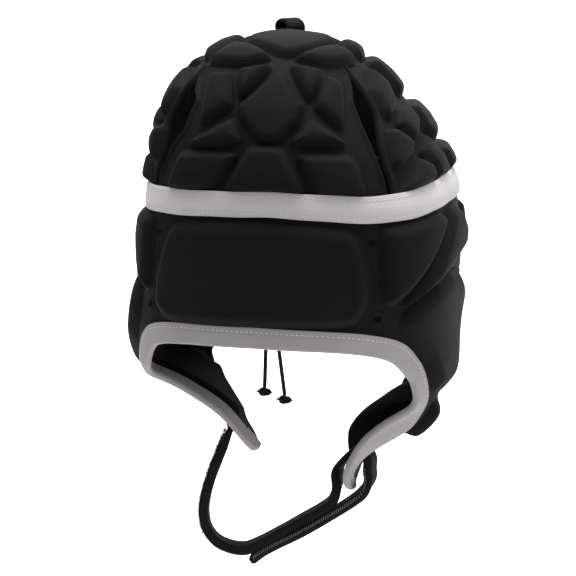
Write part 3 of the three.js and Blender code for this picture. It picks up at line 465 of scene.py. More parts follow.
# crown petals: pad corners across (-1 to 1) and up (0 to 1), seen from outside
petals = {
    "rise": 6.0,
    "cut": 0.1,
    "welt": 1.5,
    "seamBump": 0.06,
    "front": [
        [(0.08, 1.0), (0.32, 0.73), (0.26, 0.61), (0.09, 0.475), (-0.06, 0.48), (-0.235, 0.63),
         (-0.285, 0.73)],
        [(-0.42, 0.995), (-0.03, 1.035), (-0.29, 0.77)],
        [(0.21, 1.035), (0.58, 0.985), (0.385, 0.76)],
        [(-0.75, 0.945), (-0.49, 0.955), (-0.355, 0.73), (-0.6, 0.57)],
        [(0.58, 0.94), (0.78, 0.88), (0.64, 0.55), (0.43, 0.725)],
        [(-0.325, 0.635), (-0.21, 0.47), (-0.43, 0.43), (-0.7, 0.43)],
        [(0.39, 0.64), (0.66, 0.45), (0.25, 0.45), (0.215, 0.48)],
        [(-0.75, 0.375), (-0.22, 0.385), (-0.44, 0.11), (-0.82, 0.06)],
        [(-0.145, 0.43), (0.115, 0.44), (0.365, 0.08), (-0.33, 0.08)],
        [(0.24, 0.39), (0.68, 0.37), (0.79, 0.07), (0.455, 0.08)],
    ],
    "side": [
        [(-0.5, 0.94), (-0.26, 0.8), (-0.45, 0.66), (-0.82, 0.58), (-0.87, 0.64), (-0.9, 0.8)],
        [(-0.52, 0.62), (-0.14, 0.63), (-0.06, 0.48), (-0.48, 0.4), (-0.72, 0.53)],
        [(-0.98, 0.51), (-0.82, 0.51), (-0.6, 0.4), (-0.66, 0.34), (-0.98, 0.26), (-1.02, 0.3)],
        [(-0.2, 0.42), (0.12, 0.26), (0.16, 0.08), (-0.26, 0.07), (-0.24, 0.2), (-0.5, 0.31)],
        [(-1.02, 0.08), (-0.62, 0.29), (-0.35, 0.22), (-0.37, 0.07), (-1.0, 0.06)],
        [(-0.1, 0.97), (0.72, 0.97), (0.52, 0.7), (-0.02, 0.7)],
        [(0.08, 0.6), (0.76, 0.6), (0.78, 0.38), (0.2, 0.33), (0.05, 0.42)],
        [(0.3, 0.26), (0.84, 0.28), (0.88, 0.06), (0.32, 0.06)],
    ],
    "back": [
        [(-0.42, 0.97), (0.42, 0.97), (0.3, 0.56), (-0.3, 0.56)],
        [(0.54, 0.95), (0.82, 0.93), (0.8, 0.54), (0.42, 0.56)],
        [(-0.54, 0.95), (-0.82, 0.93), (-0.8, 0.54), (-0.42, 0.56)],
        [(0.06, 0.46), (0.8, 0.44), (0.88, 0.06), (0.06, 0.06)],
        [(-0.06, 0.46), (-0.8, 0.44), (-0.88, 0.06), (-0.06, 0.06)],
    ],
    # vent slits: how far an edge stands back from its corner, in degrees, by height
    "cuts": {
        "frontRight": [(0, 1.2), (0.12, 2.6), (0.28, 4.8), (0.43, 6.4), (0.6, 7.6), (0.73, 7.6), (0.86, 3.4),
                       (0.95, 0.8), (1.1, 0.3)],
        "frontLeft": [(0, 0.4), (0.13, 1.6), (0.28, 4), (0.4, 6.5), (0.56, 11), (0.73, 11), (0.86, 4),
                      (0.95, 0.8), (1.1, 0.3)],
        "rightFront": [(0, -0.6), (0.12, -1.4), (0.28, -3), (0.42, -2.2), (0.55, 1), (0.65, 3.5), (0.75, 3),
                       (0.87, 1), (0.95, 0.3), (1.1, 0.3)],
        "leftFront": [(0, 0.3), (0.13, 0), (0.28, -1), (0.42, 0.5), (0.6, 3), (0.75, 3), (0.87, 1),
                      (0.95, 0.3), (1.1, 0.3)],
        "rear": [(0, 0.3), (0.16, 0.4), (0.35, 2.4), (0.6, 3.6), (0.8, 2.8), (0.95, 0.6), (1.1, 0.3)],
    },
}


def seamUp(angle):
    return 1 + petals["seamBump"] * np.exp(-((angle / 16) ** 2))


def makePetal(name, node, middle, half, pads, cuts, flip=1):
    top = form["petalRise"]
    ups = np.linspace(0, 1.1, 34)
    turns = np.linspace(-half, half, 21)
    cross = crownPoint(middle + turns[None, :], ups[:, None] * top)
    halfWide = np.linalg.norm(np.diff(cross, axis=1), axis=2).sum(1) / 2
    spine = crownPoint(middle, ups * top)
    length = np.concatenate([[0], np.cumsum(np.linalg.norm(np.diff(spine, axis=0), axis=1))])

    def flatten(across, up):
        return np.stack([across * np.interp(up, ups, halfWide), np.interp(up, ups, length)], -1)

    outlines = []
    for corners in pads:
        shape = roundedOutline(corners, petals["cut"])
        outlines.append(flatten(flip * shape[:, 0] * (half - 2) / half, shape[:, 1]))

    def place(u, v, outer):
        side = 2 * u - 1
        highest = seamUp(side * half) if middle == 0 else 1.0
        up = 0.04 + (highest - 0.0405) * v
        lowCut, highCut = (readTable(petals["cuts"][key], up)[:, 1] for key in cuts)
        reach = (half - np.where(side < 0, lowCut, highCut)) / half
        across = side * reach
        cloth = flatten(across, up)
        height = padField(cloth, outlines, petals["rise"]) * smoothStep(up, 0.085, 0.13)
        edge = (1 - np.abs(side)) * reach * np.interp(up, ups, halfWide)
        welt = petals["welt"] * np.exp(-((edge - 1.7) / 1.5) ** 2) * smoothStep(up, 0.1, 0.2)
        height = np.maximum(height, welt)
        roll = rim(np.minimum(edge, v * length[-1]), 1.8) * form["sheet"] / 2
        lift = np.where(outer, height - roll, -form["sheet"] + roll)
        return onCrown(middle + across * half, up * top, lift), cloth

    columns = int(2 * halfWide[0] / 0.9)
    return finishPiece(wrapSlab(columns, int(length[-1] / 0.85), place), name, "ribbedFabric", [node])


crownPieces = [
    makePetal("crownFront", "crown_front", 0, 47, petals["front"], ("frontLeft", "frontRight")),
    makePetal("crownRight", "crown_right", 90, 43, petals["side"], ("rightFront", "rear")),
    makePetal("crownLeft", "crown_left", -90, 43, petals["side"], ("rear", "leftFront"), -1),
    makePetal("crownBack", "crown_back", 180, 47, petals["back"], ("rear", "rear")),
]

# crown top: pad corners aside and back, where 1 is its rim
crownTop = {
    "lap": 0.02,
    "rise": 6.0,
    "cut": 0.14,
    "step": 116,
    "pads": [
        [(-0.69, -0.68), (-0.53, -0.5), (-0.37, -0.33), (-0.18, -0.43), (-0.03, -0.74), (-0.3, -0.87)],
        [(0.16, -0.75), (0.28, -0.53), (0.46, -0.32), (0.69, -0.3), (0.87, -0.42), (0.78, -0.6),
         (0.5, -0.81)],
        [(-0.2, -0.36), (-0.31, -0.16), (-0.21, 0.07), (0.1, 0.11), (0.43, 0.07), (0.56, -0.12), (0.3, -0.5),
         (0.07, -0.69)],
        [(-0.5, -0.22), (-0.78, -0.52), (-0.96, -0.1), (-0.92, 0.3), (-0.5, 0.26), (-0.4, 0.02)],
        [(0.66, -0.14), (0.95, -0.2), (0.93, 0.3), (0.56, 0.26), (0.56, 0.06)],
        [(0.06, 0.62), (0.46, 0.42), (0.72, 0.6), (0.42, 0.87), (0.06, 0.94)],
        [(-0.06, 0.62), (-0.46, 0.42), (-0.72, 0.6), (-0.42, 0.87), (-0.06, 0.94)],
    ],
}


def makeCrownTop():
    outlines = []
    for corners in crownTop["pads"]:
        shape = roundedOutline(corners, crownTop["cut"])
        outlines.append(topPoint(shape[:, 0], shape[:, 1])[:, :2])

    def place(u, v, outer):
        x, y = 2 * u - 1, 2 * v - 1
        aside = x * np.sqrt(1 - y * y / 2)
        back = y * np.sqrt(1 - x * x / 2)
        turn = np.degrees(np.arctan2(aside, -back))
        reach = (1 - form["petalRise"] * seamUp(turn)) / (1 - form["petalRise"]) + crownTop["lap"]
        aside, back = aside * reach, back * reach
        cloth = topPoint(aside, back)[:, :2]
        height = padField(cloth, outlines, crownTop["rise"])
        lift = np.where(outer, height, -form["sheet"])
        return lifted(topPoint, aside, back, lift, 0.03, 0.03), cloth

    bm = wrapSlab(crownTop["step"], crownTop["step"], place)
    return finishPiece(bm, "crownTop", "ribbedFabric", ["crown_top"])


crownPieces.append(makeCrownTop())

# lower shell: pad corners by angle and level, vents and the rib between them
shell = {
    "rise": 7.0,
    "cut": 0.1,
    "roll": 6.5,
    "rows": 150,
    "edgeSheet": 1.8,
    "thinTo": {"left": (16.5, 24), "right": (11.5, 17)},
    # columns from one angle to the next
    "columns": [
        (-169.9, 0), (-130, 44), (-96, 40), (-70, 42), (-50, 52), (50, 130), (70, 52), (96, 42), (130, 40),
        (179.9, 52),
    ],
    "forehead": [
        (-33, 70.5), (31.5, 70.5), (34.5, 47), (34.8, 28), (32.5, 16.5), (-33, 13.5), (-39, 22), (-39.5, 38),
    ],
    # shoulder width and corners of the right side's pads; the left side's stand a little further round,
    # but for its ear pad
    "pads": [
        (6.5, [(40, 71), (74, 71), (78.5, 67), (45, 27), (41, 28), (39.8, 48)]),
        (6.5, [(86, 70), (100, 68.5), (109, 54), (102, 43), (84, 40), (57, 29.8), (49, 24.5), (50, 29)]),
        (9.5, [(49.5, 18), (54.5, 26), (66, 32.5), (81, 35.5), (97, 31), (112, 20), (114, -12), (107, -28),
               (96, -33), (80, -33.5), (73.5, -30.5), (70.5, -24), (66, -13), (60, -3), (50.5, 12)]),
        (6.5, [(124, 67), (156, 67), (156, 40), (121, 40)]),
        (6.5, [(122, 29), (156, 29), (154, 4), (121, -8)]),
        (4.5, [(77, -41), (92, -41), (97, -46), (90, -58), (82, -66), (76, -62)]),
    ],
    "leftEar": [
        (-53.5, 18), (-58.5, 26), (-69, 32.5), (-83, 35.5), (-98, 31), (-112, 20), (-114, -12), (-107, -27),
        (-96, -31), (-80, -31.5), (-72, -29), (-66.5, -22), (-61.5, -13), (-57, -5), (-53.5, 10),
    ],
    "earIndex": 2,
    "leftTurn": 4.0,
    "vents": [(37, 62.5), (40, 19.5)],
    "ribLine": [(37, 57.5), (39.4, 27)],
}


def onLeft(corners):
    return [(-a - shell["leftTurn"] * min(max((110 - a) / 60, 0), 1), b) for a, b in corners]


arcTurns = np.arange(-186, 187.0)
arcLengths = np.concatenate(
    [[0], np.cumsum(np.linalg.norm(np.diff(shellPoint(arcTurns, 40), axis=0), axis=1))]
)
arcLengths -= np.interp(0, arcTurns, arcLengths)


def shellCloth(angle, level):
    return np.stack([np.interp(angle, arcTurns, arcLengths), np.broadcast_to(level, np.shape(angle))], -1)


# distance to the lower edge, or to the part of it that the binding holds
def edgeDistance(turns):
    edge = shellPoint(turns, edgeLevel(turns))
    tree = KDTree(len(edge))
    for k, spot in enumerate(edge):
        tree.insert(spot, k)
    tree.balance()
    return lambda points: np.array([tree.find(point)[2] for point in points])


def makeShell():
    pads = [(shell["roll"], shell["forehead"]), *shell["pads"]]
    leftPads = [(roll, onLeft(corners)) for roll, corners in shell["pads"]]
    leftPads[shell["earIndex"]] = (leftPads[shell["earIndex"]][0], shell["leftEar"])
    pads += leftPads
    outlines = []
    for _, corners in pads:
        shape = roundedOutline(corners, shell["cut"])
        outlines.append(shellCloth(shape[:, 0], shape[:, 1]))
    rolls = [roll for roll, _ in pads]
    vents = shell["vents"] + onLeft(shell["vents"])
    ribLines = [shell["ribLine"], onLeft(shell["ribLine"])]
    counts = np.cumsum([n for _, n in shell["columns"]])
    top = form["tapeLevel"] - 0.8
    turns = np.arange(-170, 180, 0.1)
    edgeAway = edgeDistance(turns)
    boundAway = edgeDistance(turns[(np.abs(turns) < 81) | (np.abs(turns) > 127)])

    def place(u, v, outer):
        angle = np.interp(u * counts[-1], counts, [a for a, _ in shell["columns"]])
        low = edgeLevel(angle)
        level = low + (top - low) * v
        cloth = shellCloth(angle, level)
        height = padField(cloth, outlines, shell["rise"], rolls)
        height *= 1 - smoothStep(level, 71.5, 75)
        for at, high in vents:
            away = np.hypot(*(cloth - shellCloth(np.array([at]), np.array([high]))[0]).T)
            height += 0.5 * np.exp(-((away - 3.2) / 0.9) ** 2) - 1.6 * (1 - smoothStep(away, 1.2, 2.4))
        for line in ribLines:
            first, last = (shellCloth(np.array([a]), np.array([b]))[0] for a, b in line)
            run = last - first
            t = np.clip((cloth - first) @ run / (run @ run), 0, 1)
            away = np.hypot(*(cloth - first - t[:, None] * run).T)
            height += 0.7 * np.exp(-((away) / 1.1) ** 2)
        inset = edgeAway(shellPoint(angle, level))
        border = np.minimum(inset, top - level)
        border = np.minimum(border, np.minimum(u, 1 - u) * (arcLengths[-1] - arcLengths[0]))
        spread = boundAway(shellPoint(angle, level))
        thinLeft, thinRight = (1 - smoothStep(spread, *shell["thinTo"][side]) for side in ("left", "right"))
        thin = np.where(angle > -40, thinRight, thinLeft)
        sheet = form["sheet"] + (shell["edgeSheet"] - form["sheet"]) * thin
        roll = rim(border, 1.8) * sheet / 2
        lift = np.where(outer, height - roll, -sheet + roll)
        return onShell(angle, level, lift), cloth

    bm = wrapSlab(int(counts[-1]), shell["rows"], place)
    return finishPiece(bm, "lowerShell", "smoothFabric", ["lower_shell"])


lowerShell = makeShell()


# small rounded stitches lying along a line
def addStitches(bm, spots, along, out, size):
    for p, go, up in zip(spots, along, out):
        go = Vector(go).normalized()
        up = Vector(up)
        side = up.cross(go).normalized()
        turn = Matrix((go, side, go.cross(side))).transposed().to_4x4()
        place = Matrix.Translation(Vector(p)) @ turn @ Matrix.Diagonal((*size, 1))
        bmesh.ops.create_uvsphere(bm, u_segments=8, v_segments=5, radius=1, matrix=place)


stitch = {"pitch": 2.8, "size": (0.00095, 0.00028, 0.00022)}


# stitches along a run of points with their outward directions, both in millimetres
def stitchRun(bm, points, out):
    length = np.concatenate([[0], np.cumsum(np.linalg.norm(np.diff(points, axis=0), axis=1))])
    at = np.arange(stitch["pitch"] / 2, length[-1], stitch["pitch"])
    spots = np.stack([np.interp(at, length, points[:, k]) for k in range(3)], -1)
    ahead = np.stack([np.interp(at + 0.6, length, points[:, k]) for k in range(3)], -1)
    behind = np.stack([np.interp(at - 0.6, length, points[:, k]) for k in range(3)], -1)
    faces = np.stack([np.interp(at, length, out[:, k]) for k in range(3)], -1)
    addStitches(bm, toMetres(spots), ahead - behind, faces, stitch["size"])


# tape over the seam of crown and shell, sewn along both edges
tape = {"high": 13.5, "thick": 1.2, "clear": 0.9, "columns": 420, "rows": 12, "sewIn": 2.2}
perRise = (form["crown"][1][7] - form["crown"][0][7]) / form["crown"][1][0]


def tapePoint(angle, high):
    low = shellPoint(angle, form["tapeLevel"] + np.minimum(high, 0))
    return low + crownPoint(angle, np.maximum(high, 0) / perRise) - crownPoint(angle, 0 * high)


def onTape(angle, high, lift):
    return lifted(tapePoint, angle, high, lift, 0.6, 3.0)


# small waves of a hand-guided tape
def tapeSway(angle):
    return 0.25 * np.sin(np.radians(7 * angle)) + 0.15 * np.sin(np.radians(17 * angle + 40))


def makeTape():
    half = tape["high"] / 2

    def place(u, v, outer):
        angle = 360 * u - 180
        high = (2 * v - 1) * half + tapeSway(angle)
        border = np.minimum(v, 1 - v) * tape["high"]
        thick = tape["thick"] * (1 - 0.5 * rim(border, 0.9))
        sunk = 0.28 * np.exp(-((border - tape["sewIn"]) / 0.8) ** 2)
        lift = np.where(outer, tape["clear"] + thick - sunk, tape["clear"])
        cloth = np.stack([np.interp(angle, arcTurns, arcLengths), high], -1)
        return onTape(angle, high, lift), cloth

    bm = wrapSlab(tape["columns"], tape["rows"], place, around=True)
    finishPiece(bm, "headTape", "greyTape", ["head_tape"])
    bm = bmesh.new()
    turns = np.linspace(-180, 180, 721)
    for side in (1, -1):
        high = side * (half - tape["sewIn"]) + tapeSway(turns)
        run = onTape(turns, high, np.full(len(turns), tape["clear"] + tape["thick"] - 0.1))
        stitchRun(bm, run, outward(tapePoint, turns, high, 0.6, 3.0))
    finishPiece(bm, "tapeStitches", "stitchThread")


makeTape()

# binding folded over the lower edge
binding = {
    "thick": 0.9, "clear": 0.35, "wide": 11.0, "tip": 6.0, "leftWide": 16.0, "leftTip": 12.0, "nape": 7.0,
    "sewIn": 2.6, "rows": 30, "step": 1.4,
    # turns between which the left flap's inside leg widens, and each leg narrows to its tip width
    "leftWiden": (40, 54), "shownNarrow": (65, 69.5), "hiddenNarrow": (63, 66.5),
}


def bindingFrame(angle):
    level = edgeLevel(angle)
    spot = shellPoint(angle, level)
    out = outward(shellPoint, angle, level + 0.5, 0.5, 0.6)
    go = shellPoint(angle + 0.3, edgeLevel(angle + 0.3)) - shellPoint(angle - 0.3, edgeLevel(angle - 0.3))
    go /= np.linalg.norm(go, axis=-1, keepdims=True)
    into = np.cross(out, go)
    into /= np.linalg.norm(into, axis=-1, keepdims=True)
    across = shellPoint(angle + 0.5, level) - shellPoint(angle - 0.5, level)
    up = shellPoint(angle, level + 0.5) - shellPoint(angle, level - 0.5)

    def dot(a, b):
        return (a * b).sum(-1)

    shared = dot(across, up)
    size = dot(across, across) * dot(up, up) - shared**2
    perAngle = (dot(into, across) * dot(up, up) - dot(into, up) * shared) / size
    perLevel = (dot(into, up) * dot(across, across) - dot(into, across) * shared) / size
    return level, spot, out, into, perAngle, perLevel


def bindingSpot(angle, inset, lift):
    level, spot, out, into, perAngle, perLevel = bindingFrame(angle)
    reach = np.maximum(inset, 0)
    laid = onShell(angle + perAngle * reach, level + perLevel * reach, lift)
    folded = spot + into * np.minimum(inset, 0)[..., None] + out * np.asarray(lift)[..., None]
    return np.where((inset > 0)[..., None], laid, folded)


def makeBinding(name, node, start, end, legsAt):
    turns = np.linspace(start, end, 1600)
    edge = shellPoint(turns, edgeLevel(turns))
    length = np.concatenate([[0], np.cumsum(np.linalg.norm(np.diff(edge, axis=0), axis=1))])
    half = shell["edgeSheet"] / 2
    fold = math.pi * (half + binding["clear"])

    def place(u, v, outer):
        angle = np.interp(u * length[-1], length, turns)
        outside, inside = legsAt(angle)
        lift = np.where(outer, binding["clear"] + binding["thick"], binding["clear"])
        run = v * (outside + fold + inside)
        turn = np.clip((run - outside) / fold, 0, 1) * math.pi
        behind = np.where(run > outside + fold, run - outside - fold, 0)
        inset = np.where(run < outside, outside - run, behind)
        bend = -lift * np.sin(turn)
        high = -half + (half + lift) * np.cos(turn)
        border = np.minimum(run, outside + fold + inside - run)
        thin = 0.5 * rim(border, 0.9) * binding["thick"]
        sunk = 0.3 * np.exp(-((border - binding["sewIn"]) / 0.8) ** 2)
        ease = np.where(outer, thin + sunk, 0)
        high = high - np.sign(np.cos(turn)) * ease
        cloth = np.stack([u * length[-1], run], -1)
        return bindingSpot(angle, np.where(inset > 0, inset, bend), high), cloth

    columns = int(length[-1] / binding["step"])
    # the binding's tape colour is the grey tape darkened as painted shade
    finishPiece(wrapSlab(columns, binding["rows"], place), name, "paintedShadeTape", [node])
    at = np.interp(np.linspace(2, length[-1] - 2, columns * 2), length, turns)
    inset = legsAt(at)[0] - binding["sewIn"]
    lift = np.full(len(at), binding["clear"] + binding["thick"] - 0.1)
    bm = bmesh.new()
    stitchRun(bm, bindingSpot(at, inset, lift), bindingFrame(at)[2])
    finishPiece(bm, name + "Stitches", "stitchThread")


# widths of the outside and inside legs; each flap's hidden leg narrows first, to leave room for the strap
def browLegs(angle):
    turned = np.abs(angle)
    extra = (binding["leftWide"] - binding["wide"]) * smoothStep(turned, *binding["leftWiden"])
    shownWide = np.where(angle > 0, binding["wide"], binding["wide"] + extra)
    shownTip = np.where(angle > 0, binding["tip"], binding["leftTip"])
    shown = shownWide + (shownTip - shownWide) * smoothStep(turned, *binding["shownNarrow"])
    thinner = binding["tip"] - binding["wide"]
    hidden = binding["wide"] + thinner * smoothStep(turned, *binding["hiddenNarrow"])
    return np.where(angle > 0, shown, hidden), np.where(angle > 0, hidden, shown)


def napeLegs(angle):
    return np.full(np.shape(angle), binding["nape"]), np.full(np.shape(angle), binding["nape"])


makeBinding("browBinding", "brow_binding", -80, 80, browLegs)
makeBinding("napeBindingLeft", "nape_binding_left", -169, -128, napeLegs)
makeBinding("napeBindingRight", "nape_binding_right", 128, 179, napeLegs)


# smooth line through points, with any further columns carried along
def smoothLine(rows, count):
    p = np.array(rows, float)
    p = np.vstack([2 * p[0] - p[1], p, 2 * p[-1] - p[-2]])
    knots = np.concatenate([[0], np.cumsum(np.linalg.norm(np.diff(p[:, :3], axis=0), axis=1) ** 0.5)])
    out = []
    for i in range(1, len(p) - 2):
        k = knots[i - 1:i + 3]
        t = np.linspace(k[1], k[2], 24, endpoint=i == len(p) - 3)[:, None]

        def between(a, b, low, high):
            return (high - t) / (high - low) * a + (t - low) / (high - low) * b

        a1 = between(p[i - 1], p[i], k[0], k[1])
        a2 = between(p[i], p[i + 1], k[1], k[2])
        a3 = between(p[i + 1], p[i + 2], k[2], k[3])
        b1 = between(a1, a2, k[0], k[2])
        b2 = between(a2, a3, k[1], k[3])
        out.append(between(b1, b2, k[1], k[2]))
    line = np.vstack(out)
    length = np.concatenate([[0], np.cumsum(np.linalg.norm(np.diff(line[:, :3], axis=0), axis=1))])
    at = np.linspace(0, length[-1], count)
    return np.stack([np.interp(at, length, line[:, c]) for c in range(line.shape[1])], -1), length[-1]


# chin strap: sewn on the left flap, through the right flap's slot and back on itself
strap = {
    "wide": 12.0, "thick": 3.4, "pileThick": 2.2, "lift": 2.3, "steps": 320,
    "sewnAngle": -80.0, "slotAngle": 79.2, "slotLevel": -91.0,
    # shares of the length where the pile's thickness comes and goes: sewn end, into the slot, out of it
    "pileSteps": [(0.05, 0.09), (0.57, 0.61), (0.655, 0.69)],
    "freeAcross": (-0.22, 1, 0),
    "sewn": [-72, -78, -84],
    # x, level
    "out": [
        (-38.5, -64.5), (-41.5, -71.5), (-45, -80), (-49.5, -92), (-53, -104), (-54.2, -114), (-52.5, -123),
        (-47.3, -129.8), (-39, -133.4), (-29.5, -133.8), (-20, -129.5), (-10, -123.3), (4, -114.5),
        (17, -106.2), (22.8, -101), (25.2, -94),
    ],
    # step over the slot, lift off the sheet
    "through": [(-15, -11), (-7, -8.6), (-1.5, -6.5), (0.6, -2), (-1.5, 2.8), (-7, 6), (-13, 8.4)],
    "back": [
        (41, -94.4), (36.5, -98.8), (30, -103.8), (20, -110.6), (4, -120.8), (-10, -129),
        (-19, -134.7), (-25, -139.5),
    ],
    "deep": -18.0,
    "pileFrom": 0.06, "pileTo": 0.5, "pileCount": 2600, "pileLong": (0.0014, 0.0026),
    "hookFrom": 0.7, "hookPitch": 1.5, "hookSize": (0.0013, 0.0004, 0.0004),
    "hookAside": 1.3,
}


def strapRows():
    rows = []

    def add(point, wide):
        rows.append([*np.ravel(point), *np.ravel(wide)])

    def acrossFlap(angle, level):
        step = shellPoint(angle + 1, level) - shellPoint(angle - 1, level)
        return step / np.linalg.norm(step)

    for level in strap["sewn"]:
        add(onShell(strap["sewnAngle"], level, strap["lift"]), acrossFlap(strap["sewnAngle"], level))
    for x, level in strap["out"]:
        add((x, strap["deep"], level), strap["freeAcross"])
    turn = strap["slotAngle"]
    for step, lift in strap["through"]:
        add(onShell(turn, strap["slotLevel"] + step, lift), acrossFlap(turn, strap["slotLevel"]))
    for x, level in strap["back"]:
        add((x, strap["deep"], level), strap["freeAcross"])
    return rows


def strapFrames():
    line, length = smoothLine(strapRows(), strap["steps"])
    go = np.gradient(line[:, :3], axis=0)
    go /= np.linalg.norm(go, axis=1, keepdims=True)
    across = line[:, 3:6] - go * (line[:, 3:6] * go).sum(1, keepdims=True)
    across /= np.linalg.norm(across, axis=1, keepdims=True)
    return line[:, :3], go, across, np.cross(go, across), length


def makeStrap():
    line, go, across, face, length = strapFrames()
    shares = np.linspace(0, 1, strap["steps"])

    def at(values, u):
        return np.stack([np.interp(u, shares, values[:, k]) for k in range(3)], -1)

    def place(u, v, outer):
        border = np.minimum(np.minimum(v, 1 - v) * strap["wide"], np.minimum(u, 1 - u) * length)
        sewn, entered, left = (smoothStep(u, *step) for step in strap["pileSteps"])
        free = sewn * (1 - entered) + left
        thick = (strap["thick"] + strap["pileThick"] * free) / 2 * (1 - 0.6 * rim(border, 1.6))
        side = np.where(outer, thick, -thick)
        wave = 0.35 * np.sin(u * 41) * (v - 0.5)
        spot = at(line, u) + at(across, u) * ((v - 0.5) * strap["wide"])[:, None]
        return spot + at(face, u) * (side + wave)[:, None], np.stack([u * length, v * strap["wide"]], -1)

    piece = finishPiece(wrapSlab(strap["steps"], 14, place), "chinStrap", "strapWebbing", ["chin_strap"])
    length * 0.001
    seeded = random.Random(7)
    bm = bmesh.new()
    for _ in range(strap["pileCount"]):
        u = seeded.uniform(strap["pileFrom"], strap["pileTo"])
        v = seeded.choice((0.0, 1.0, seeded.random(), seeded.random()))
        k = int(u * (strap["steps"] - 1))
        out = across[k] * (2 * v - 1) * 0.8 - face[k]
        out = out + np.array([seeded.uniform(-0.7, 0.7) for _ in range(3)])
        surface = face[k] * (strap["thick"] + strap["pileThick"]) * 0.45
        spot = line[k] + across[k] * (v - 0.5) * strap["wide"] - surface
        turn = Vector(out).to_track_quat("Z", "Y").to_matrix().to_4x4()
        where = Matrix.Translation(Vector(toMetres(spot))) @ turn @ Matrix.Translation((0, 0, 0.0006))
        long = seeded.uniform(*strap["pileLong"])
        bmesh.ops.create_cone(
            bm, cap_ends=True, segments=3, radius1=0.00014, radius2=0.00003, depth=long, matrix=where
        )
    finishPiece(bm, "strapPile", "strapWebbing")
    bm = bmesh.new()
    u = np.arange(strap["hookFrom"] * length, length - 2, strap["hookPitch"]) / length
    spots = at(line, u) - at(across, u) * (strap["wide"] / 2 - 0.1) - at(face, u) * strap["hookAside"]
    addStitches(bm, toMetres(spots), at(face, u) + 0.6 * at(go, u), -at(across, u), strap["hookSize"])
    finishPiece(bm, "strapHooks", "hookThread")


makeStrap()


# round cord along a line of points in millimetres
def wrapCord(line, radius, sides=10):
    go = np.gradient(line, axis=0)
    go /= np.linalg.norm(go, axis=1, keepdims=True)
    side = np.zeros_like(line)
    first = np.cross(go[0], (0.3, 0.2, 0.9))
    side[0] = first / np.linalg.norm(first)
    for k in range(1, len(line)):
        turned = side[k - 1] - go[k] * (side[k - 1] @ go[k])
        side[k] = turned / np.linalg.norm(turned)
    other = np.cross(go, side)
    length = np.concatenate([[0], np.cumsum(np.linalg.norm(np.diff(line, axis=0), axis=1))])
    bm = bmesh.new()
    bmesh.ops.create_grid(bm, x_segments=len(line) - 1, y_segments=sides, size=0.5)
    bmesh.ops.translate(bm, verts=bm.verts, vec=(0.5, 0.5, 0))
    bm.verts.index_update()
    flat = np.array([v.co for v in bm.verts])
    k = np.rint(flat[:, 0] * (len(line) - 1)).astype(int)
    a = flat[:, 1:2] * 2 * math.pi
    points = toMetres(line[k] + (side[k] * np.cos(a) + other[k] * np.sin(a)) * radius)
    layer = bm.loops.layers.uv.new("cloth")
    twist = 0.5 * flat[:, 1] * 2 * math.pi * radius
    cloth = np.stack([length[k] - twist, length[k] + twist * 2], -1) * 0.001
    for loopFace in bm.faces:
        for loop in loopFace.loops:
            loop[layer].uv = cloth[loop.vert.index]
    for vert, point in zip(bm.verts, points):
        vert.co = point
    bmesh.ops.remove_doubles(bm, verts=bm.verts, dist=1e-7)
    bmesh.ops.holes_fill(bm, edges=[e for e in bm.edges if e.is_boundary], sides=0)
    bmesh.ops.recalc_face_normals(bm, faces=bm.faces)
    return bm


lace = {
    "cord": 2.4, "eyeletAside": 10.0, "eyelets": [10, 32, 54], "tie": (-33, 50, -2),
    "tails": {"Left": (-37.5, 50, -55), "Right": (-25, 50, -59)},
    "knotWide": 7.5, "knotHigh": 4.5, "tieWide": 9, "tieHigh": 7, "frayCount": 14,
}


def laceRoute():
    inside = -form["sheet"] - lace["cord"]
    outside = lace["cord"]
    middle = form["laceAngle"]
    points = []

    def eyelet(side, k, start, end):
        for lift in (start, (start + end) / 2, end):
            points.append(np.ravel(onShell(middle + side * lace["eyeletAside"], lace["eyelets"][k], lift)))

    def crossing(k, lift):
        level = (lace["eyelets"][k] + lace["eyelets"][k + 1]) / 2
        points.append(np.ravel(onShell(middle, level, lift)))

    x, y, level = lace["tie"]
    points.append(np.array([x - 3, y - 1, level + 5]))
    eyelet(1, 0, inside, outside)
    crossing(0, outside)
    eyelet(-1, 1, outside, inside)
    crossing(1, inside)
    eyelet(1, 2, inside, outside)
    eyelet(-1, 2, outside, inside)
    crossing(1, inside - 1.4 * lace["cord"])
    eyelet(1, 1, inside, outside)
    crossing(0, outside + 1.4 * lace["cord"])
    eyelet(-1, 0, outside, inside)
    points.append(np.array([x + 5, y - 1, level + 3]))
    return smoothLine(points, 420)[0]


# one overhand turn of cord
def knotLine(x, y, level, wide, high):
    t = np.linspace(0, 2 * math.pi, 90)
    around = 2 + np.cos(3 * t)
    return np.stack([
        x + wide / 7.2 * around * np.cos(2 * t),
        y + wide / 9 * np.sin(3 * t),
        level + high / 7.2 * around * np.sin(2 * t),
    ], -1)


# loose fibres on both sides of an end knot
def addFray(bm, middle):
    seeded = random.Random(11)
    for k in range(lace["frayCount"]):
        side = 1 if k % 2 else -1
        out = Vector((side, seeded.uniform(-0.4, 0.4), seeded.uniform(-0.55, 0.45))).normalized()
        turn = out.to_track_quat("Z", "Y").to_matrix().to_4x4()
        root = Vector(toMetres(middle)) + Vector((side * 0.0022, 0, 0))
        long = seeded.uniform(0.0018, 0.0034)
        where = Matrix.Translation(root) @ turn @ Matrix.Translation((0, 0, long / 2))
        bmesh.ops.create_cone(
            bm, cap_ends=True, segments=5, radius1=0.00055, radius2=0.00025, depth=long, matrix=where
        )


